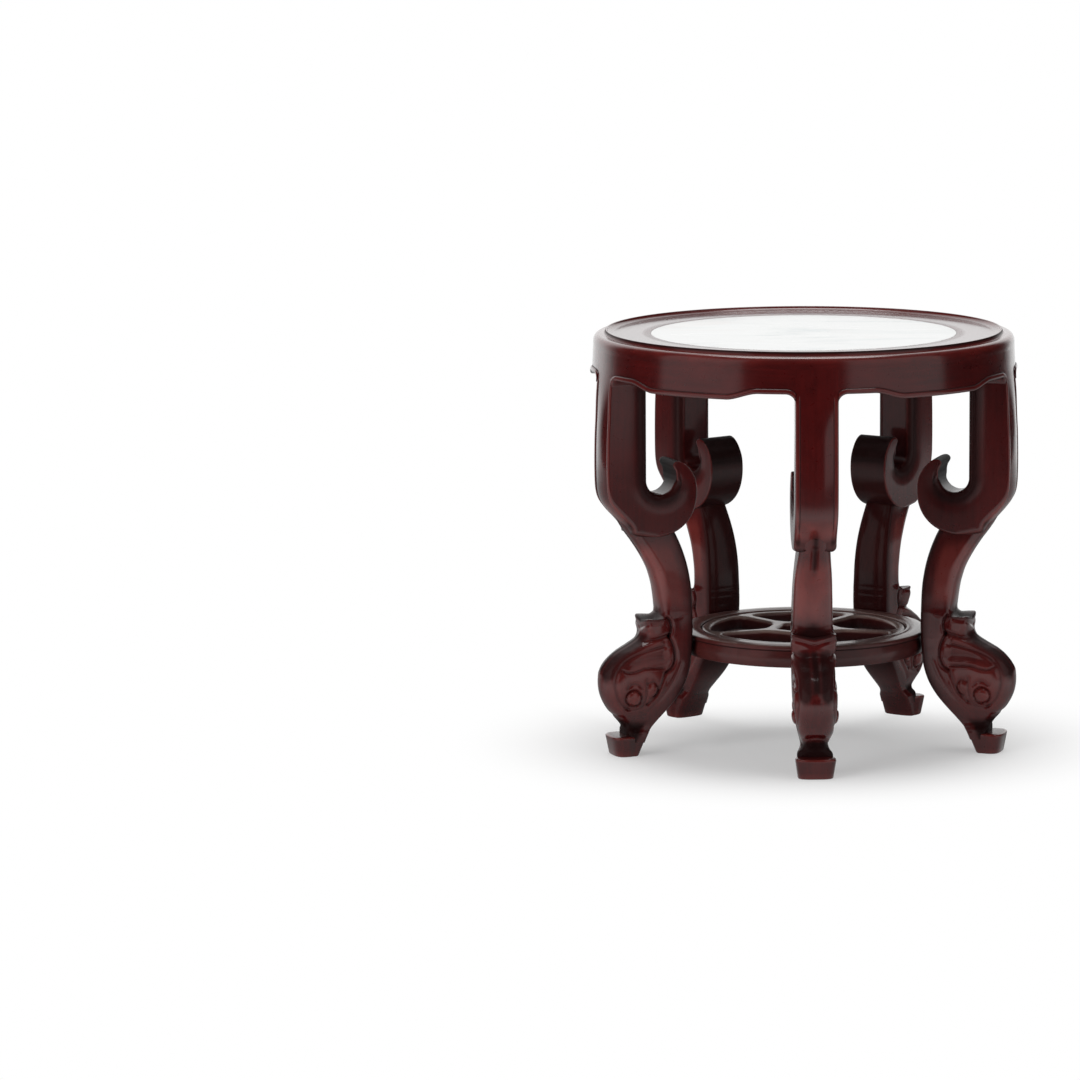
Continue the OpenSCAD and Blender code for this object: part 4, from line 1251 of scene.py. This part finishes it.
@dataclass
class ShelfFret:
    """The pierced shelf: a rim, five spokes that point at the legs and a pentagon in the middle."""

    outer_r: float = 62.2
    inner_r: float = 56.2
    corner_r: float = 22.0
    bar: float = 7.0
    low_z: float = 63.0
    top_z: float = 71.0
    bevel: float = 2.2
    ease_in: float = 7.0
    middle_ease: float = 4.0
    rim_points: int = 31

    def rounded(self, corners: np.ndarray, reach: Sequence[float]) -> np.ndarray:
        """Rounds the corners of an outline on parabolas.

        Args:
            corners: Corners of the outline, anticlockwise.
            reach: How far before and after each corner its rounding starts and ends; 0 keeps the corner.

        Returns:
            The rounded outline: at each corner (1-t)^2 a + 2t(1-t) c + t^2 b from a before it to b after it.
        """
        out = []
        t = np.linspace(0, 1, 12)[:, None]
        for k, c in enumerate(corners):
            before, after = corners[k - 1] - c, corners[(k + 1) % len(corners)] - c
            if reach[k] == 0:
                out.append(c[None])
                continue
            a = c + before / np.linalg.norm(before) * reach[k]
            b = c + after / np.linalg.norm(after) * reach[k]
            out.append((1 - t) ** 2 * a + 2 * t * (1 - t) * c + t**2 * b)
        return np.vstack(out)

    def gap(self, i: int) -> np.ndarray:
        """Outline of the opening between spokes i and i + 1.

        Args:
            i: Number of the opening.

        Returns:
            The outline, anticlockwise, in X and Y.
        """
        half = math.radians(STEP / 2)
        near = self.corner_r * math.cos(half) + self.bar / 2
        side = (near * math.sin(half) - self.bar / 2) / math.cos(half)
        sweep = STEP / 2 - math.degrees(math.asin(self.bar / 2 / self.inner_r))
        rim = arc((0, 0), self.inner_r, -sweep, sweep, self.rim_points)
        half_rim = self.inner_r * math.radians(sweep)
        from_middle = np.abs(np.linspace(-1, 1, self.rim_points)) * half_rim
        kept = rim[from_middle < half_rim - self.ease_in]
        corners = np.vstack([[(near, side), (near, -side)], rim[:1], kept, rim[-1:]])
        outline = self.rounded(corners, [self.ease_in] * 3 + [0] * len(kept) + [self.ease_in])
        return outline @ turning(leg_azimuth(i + 0.5))[:2, :2].T

    def middle(self) -> np.ndarray:
        """Outline of the five-sided opening in the middle."""
        half = math.radians(STEP / 2)
        r = (self.corner_r * math.cos(half) - self.bar / 2) / math.cos(half)
        return self.rounded(arc((0, 0), r, -90, -90 + STEP * (LEGS - 1), LEGS), [self.middle_ease] * LEGS)

    def wall(self, loop: np.ndarray, inward: float) -> np.ndarray:
        """Rings of one edge from the top face to the under face.

        Args:
            loop: Its outline, anticlockwise.
            inward: 1 where the wood lies inside the outline and -1 where it lies outside.

        Returns:
            Rings, rows by points by 3; at top and bottom the outline is drawn back into the wood.
        """
        normal = outward_normals(loop)
        b = self.bevel
        phi = np.radians(np.linspace(90, 0, 6))
        back = np.concatenate([[b + 0.3], b * (1 - np.cos(phi)), [0.0, 0.4]])
        z = np.concatenate([[self.top_z], self.top_z - b * (1 - np.sin(phi)), [self.low_z + 0.4, self.low_z]])
        at = loop[None] - inward * normal[None] * back[:, None, None]
        return np.concatenate([at, np.broadcast_to(z[:, None, None], (len(z), len(loop), 1))], axis=-1)

    def build(self, finish: bpy.types.Material) -> None:
        """Makes and dresses the shelf: bevelled walls along each outline, and flat faces between them."""
        outside = arc((0, 0), self.outer_r, 0, 360, 181)[:-1]
        holes = [self.gap(i) for i in range(LEGS)] + [self.middle()]
        walls = [self.wall(outside, 1), *(self.wall(hole, -1) for hole in holes)]
        points, quads, first, tops, lows = [], [], 0, [], []
        for wall in walls:
            rows, cols = wall.shape[:2]
            index = first + np.arange(rows * cols).reshape(rows, cols)
            quads.append(strips(index[:-1], index[1:]))
            points.append(wall.reshape(-1, 3))
            tops.append(index[0])
            lows.append(index[-1])
            first += rows * cols
        quads = [quads[0][:, ::-1]] + quads[1:]
        at = np.vstack(points)
        caps = []
        for rings, up in ((tops, 1), (lows, -1)):
            order = np.concatenate(rings)
            for tri in tessellate_polygon([[Vector(at[k]) for k in ring] for ring in rings]):
                corner = order[list(tri)]
                a, b, c = at[corner]
                turn = (b[0] - a[0]) * (c[1] - a[1]) - (b[1] - a[1]) * (c[0] - a[0])
                if abs(turn) > 1e-9:
                    caps.append(corner if turn * up > 0 else corner[::-1])
        # Painted highlight on the top faces; painted shade down the walls of the openings and under the
        # shelf, with a little of it everywhere.
        wear = ease(at[:, 2], self.top_z - 2.2, self.top_z - 0.6)
        recess = 0.2 + 0.8 * ease(at[:, 2], self.top_z - 1.2, self.top_z - 3.0)
        shell = Shell(at, np.vstack(quads), caps, at.copy(), recess, wear)
        place("pierced_shelf", shell.turned(0, 40), finish, Slot.LACQUER, ["shelf_fret"])


@dataclass
class HiddenJoinery:
    """Braces and splines, which keep their CAD shapes and get their finish."""

    braces: tuple[tuple[str, float], ...] = (("cross_brace_right", 45.0), ("cross_brace_left", 135.0))
    splines: tuple[str, ...] = ("frame_splines", "shelf_splines")

    def build(self) -> None:
        """Dresses each node with bare wood that runs along it."""
        for name, azimuth in [*self.braces, *((s, 0.0) for s in self.splines)]:
            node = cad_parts[name]
            node.data.materials.clear()
            node.data.materials.append(BareWood(azimuth=azimuth).build())
            LOG.info("%s: bare wood", name)


@dataclass(frozen=True)
class Lamp:
    """A softbox: its place in metres, its two sides, its power in watts and whether the gloss mirrors it."""

    name: str
    at: Place
    sides: tuple[float, float]
    power: float
    mirrored: bool = False

    AIM: ClassVar[tuple] = (0.0, 0.0, 0.13)

    def hang(self) -> None:
        """Hangs the softbox so that it points at the middle of the stand."""
        data = bpy.data.lights.new(self.name, "AREA")
        data.shape = "RECTANGLE"
        data.size, data.size_y = self.sides
        data.energy = self.power
        lamp = bpy.data.objects.new(self.name, data)
        lamp.location = self.at
        lamp.rotation_euler = (Vector(self.AIM) - Vector(self.at)).to_track_quat("-Z", "Y").to_euler()
        lamp.visible_glossy = self.mirrored
        bpy.context.scene.collection.objects.link(lamp)


@dataclass
class Studio:
    """White floor, soft lamps and the camera."""

    camera_at: Place = (-229.1, -3680.8, 684.4)
    heading: float = 1.08
    pitch: float = 8.63
    roll: float = -0.33
    focal_px: float = 6146.0
    picture_px: float = 1080.0
    floor_corners: tuple[Place, ...] = ((-1.1, -1.1, 0), (1.1, -1.1, 0), (1.6, 8, 0), (-1.6, 8, 0))
    floor_grey: float = 0.90
    floor_white: tuple[float, float] = (0.092, 0.22)
    fill: float = 0.26
    gloom: float = 0.010
    ceiling: float = 0.1
    ceiling_from: tuple[float, float] = (0.45, 0.75)
    sheen: float = 0.8
    box_edge: float = 3.0
    box_top: tuple[float, float] = (0.75, 0.55)
    boxes: tuple[tuple[float, float, float], ...] = ((-87.0, -37.0, 0.55), (20.0, 78.0, 0.52))
    wall: tuple[tuple[float, float], ...] = ((-123.0, -147.0), (136.0, 156.0))
    lamps: tuple[Lamp, ...] = (
        Lamp("left softbox", (-1.5, -1.35, 0.62), (1.1, 1.1), 19.0),
        Lamp("right softbox", (1.6, -1.2, 0.62), (1.1, 1.1), 4.0),
        Lamp("overhead softbox", (0.0, 0.42, 3.4), (2.4, 2.0), 74.0, True))

    def floor(self) -> None:
        """Makes the floor, which fades to plain white away from the stand and holds its shadow near it.

        The camera sees white mixed over the matt floor. The gloss sees a paler sheet that dims under and in
        front of the stand. Ahead is the distance in metres from the axis towards the camera.
        """
        made, g = Graph.material("studio floor")
        place_at = g.node("ShaderNodeTexCoord", {}, {}, "Object")
        reach = g.node("ShaderNodeVectorMath", {"operation": "LENGTH"}, {0: place_at}, "Value")
        seen, shiny = (g.node("ShaderNodeLightPath", {}, {}, f"Is {ray} Ray") for ray in ("Camera", "Glossy"))
        matt = g.node("ShaderNodeBsdfDiffuse", {}, {"Color": (*(self.floor_grey,) * 3, 1.0)})
        ahead = 0 - g.node("ShaderNodeSeparateXYZ", {}, {0: place_at}, "Y")
        plain = 0.34 + 0.66 * reach.eased(*self.floor_white).most(ahead.eased(-0.02, -0.15))
        under = 0.5 + 0.5 * reach.eased(0.12, 0.32)
        front = 1 - 0.7 * ahead.eased(0.08, -0.04) * reach.eased(1.45, 1.0)
        near = under * front * ahead.eased(0.85, 0.20) * (
            self.sheen + (1 - self.sheen) * ahead.eased(-0.15, -0.6))
        glow = g.node("ShaderNodeEmission", {}, {"Color": seen + (1 - seen) * near, "Strength": 1.0})
        both = g.node("ShaderNodeMixShader", {}, {0: (seen * plain).most(shiny * 0.9), 1: matt, 2: glow})
        g.node("ShaderNodeOutputMaterial", {}, {"Surface": both})
        data = bpy.data.meshes.new("studio_floor")
        data.from_pydata(self.floor_corners, [], [(0, 1, 2, 3)])
        floor = bpy.data.objects.new("studio_floor", data)
        bpy.context.scene.collection.objects.link(floor)
        data.materials.append(made)

    def room(self) -> None:
        """Sets the world: white to the camera, a soft fill to matt surfaces, and to the gloss a dark room.

        The dark room has a softbox on each side of the camera, a pale ceiling and a white wall behind.
        An azimuth of 0 lies towards the camera and grows to its right.
        """
        world = bpy.data.worlds.new("studio room")
        world.use_nodes = True
        bpy.context.scene.world = world
        g = Graph(world.node_tree)
        way = g.node("ShaderNodeTexCoord", {}, {}, "Generated")
        x, y, z = (g.node("ShaderNodeSeparateXYZ", {}, {0: way}, key) for key in "XYZ")
        turn = x.angle(0 - y) * (180 / math.pi)
        shine = z.eased(*self.ceiling_from) * self.ceiling
        edge = self.box_edge
        for low, high, strength in self.boxes:
            side = turn.eased(low - edge, low + edge) * turn.eased(high + edge, high - edge)
            shine = shine.most(side * z.eased(*self.box_top) * strength)
        for low, high in self.wall:
            shine = shine.most(turn.eased(low, high))
        shine = shine + self.gloom
        seen, shiny = (g.node("ShaderNodeLightPath", {}, {}, f"Is {ray} Ray") for ray in ("Camera", "Glossy"))
        level = seen + (1 - seen) * (shiny * shine + (1 - shiny) * self.fill)
        back = g.node("ShaderNodeBackground", {}, {"Color": (1.0, 1.0, 1.0, 1.0), "Strength": level})
        g.node("ShaderNodeOutputWorld", {}, {"Surface": back})

    def camera(self) -> None:
        """Sets the camera at the photograph's place, with its heading, pitch, roll and long lens."""
        yaw, pitch, roll = (math.radians(v) for v in (self.heading, self.pitch, self.roll))
        ahead = Vector((math.sin(yaw) * math.cos(pitch), math.cos(yaw) * math.cos(pitch), -math.sin(pitch)))
        right = Vector((math.cos(yaw), -math.sin(yaw), 0))
        up = right.cross(ahead)
        x = math.cos(roll) * right + math.sin(roll) * up
        y = -math.sin(roll) * right + math.cos(roll) * up
        data = bpy.data.cameras.new("studio camera")
        data.sensor_width = 36.0
        data.lens = self.focal_px / self.picture_px * data.sensor_width
        data.clip_end = 100
        camera = bpy.data.objects.new("studio camera", data)
        turn = Matrix((x, y, -ahead)).transposed().to_4x4()
        camera.matrix_world = Matrix.Translation(Vector(self.camera_at) * MM) @ turn
        bpy.context.scene.collection.objects.link(camera)
        bpy.context.scene.camera = camera

    def build(self) -> None:
        """Sets up the whole studio."""
        bpy.context.scene.view_settings.view_transform = "Standard"
        self.floor()
        self.room()
        for lamp in self.lamps:
            lamp.hang()
        self.camera()


def main() -> None:
    """Builds and dresses the stand from the top down, then the studio."""
    logging.basicConfig(level=logging.INFO, format="%(name)s: %(message)s")
    wood = Lacquer().build()
    TopFrame().build(wood)
    MarbleTop().build(Marble().build())
    Apron().build(wood)
    Leg().build(wood)
    # The shelf's finish: its pale grey colour is a painted highlight, the pale reflection on the shelf's
    # tops.
    dull = Lacquer(name="dull lacquered hardwood", rubbed_and_highlight=(0.24, 0.168, 0.145), rubbed_and_highlight_share=0.9, gloss=0.36,
                   coat=0.75, coat_gloss=0.18).build()
    ShelfRing().build(dull)
    ShelfFret().build(dull)
    HiddenJoinery().build()
    Studio().build()


if __name__ == "__main__":
    main()
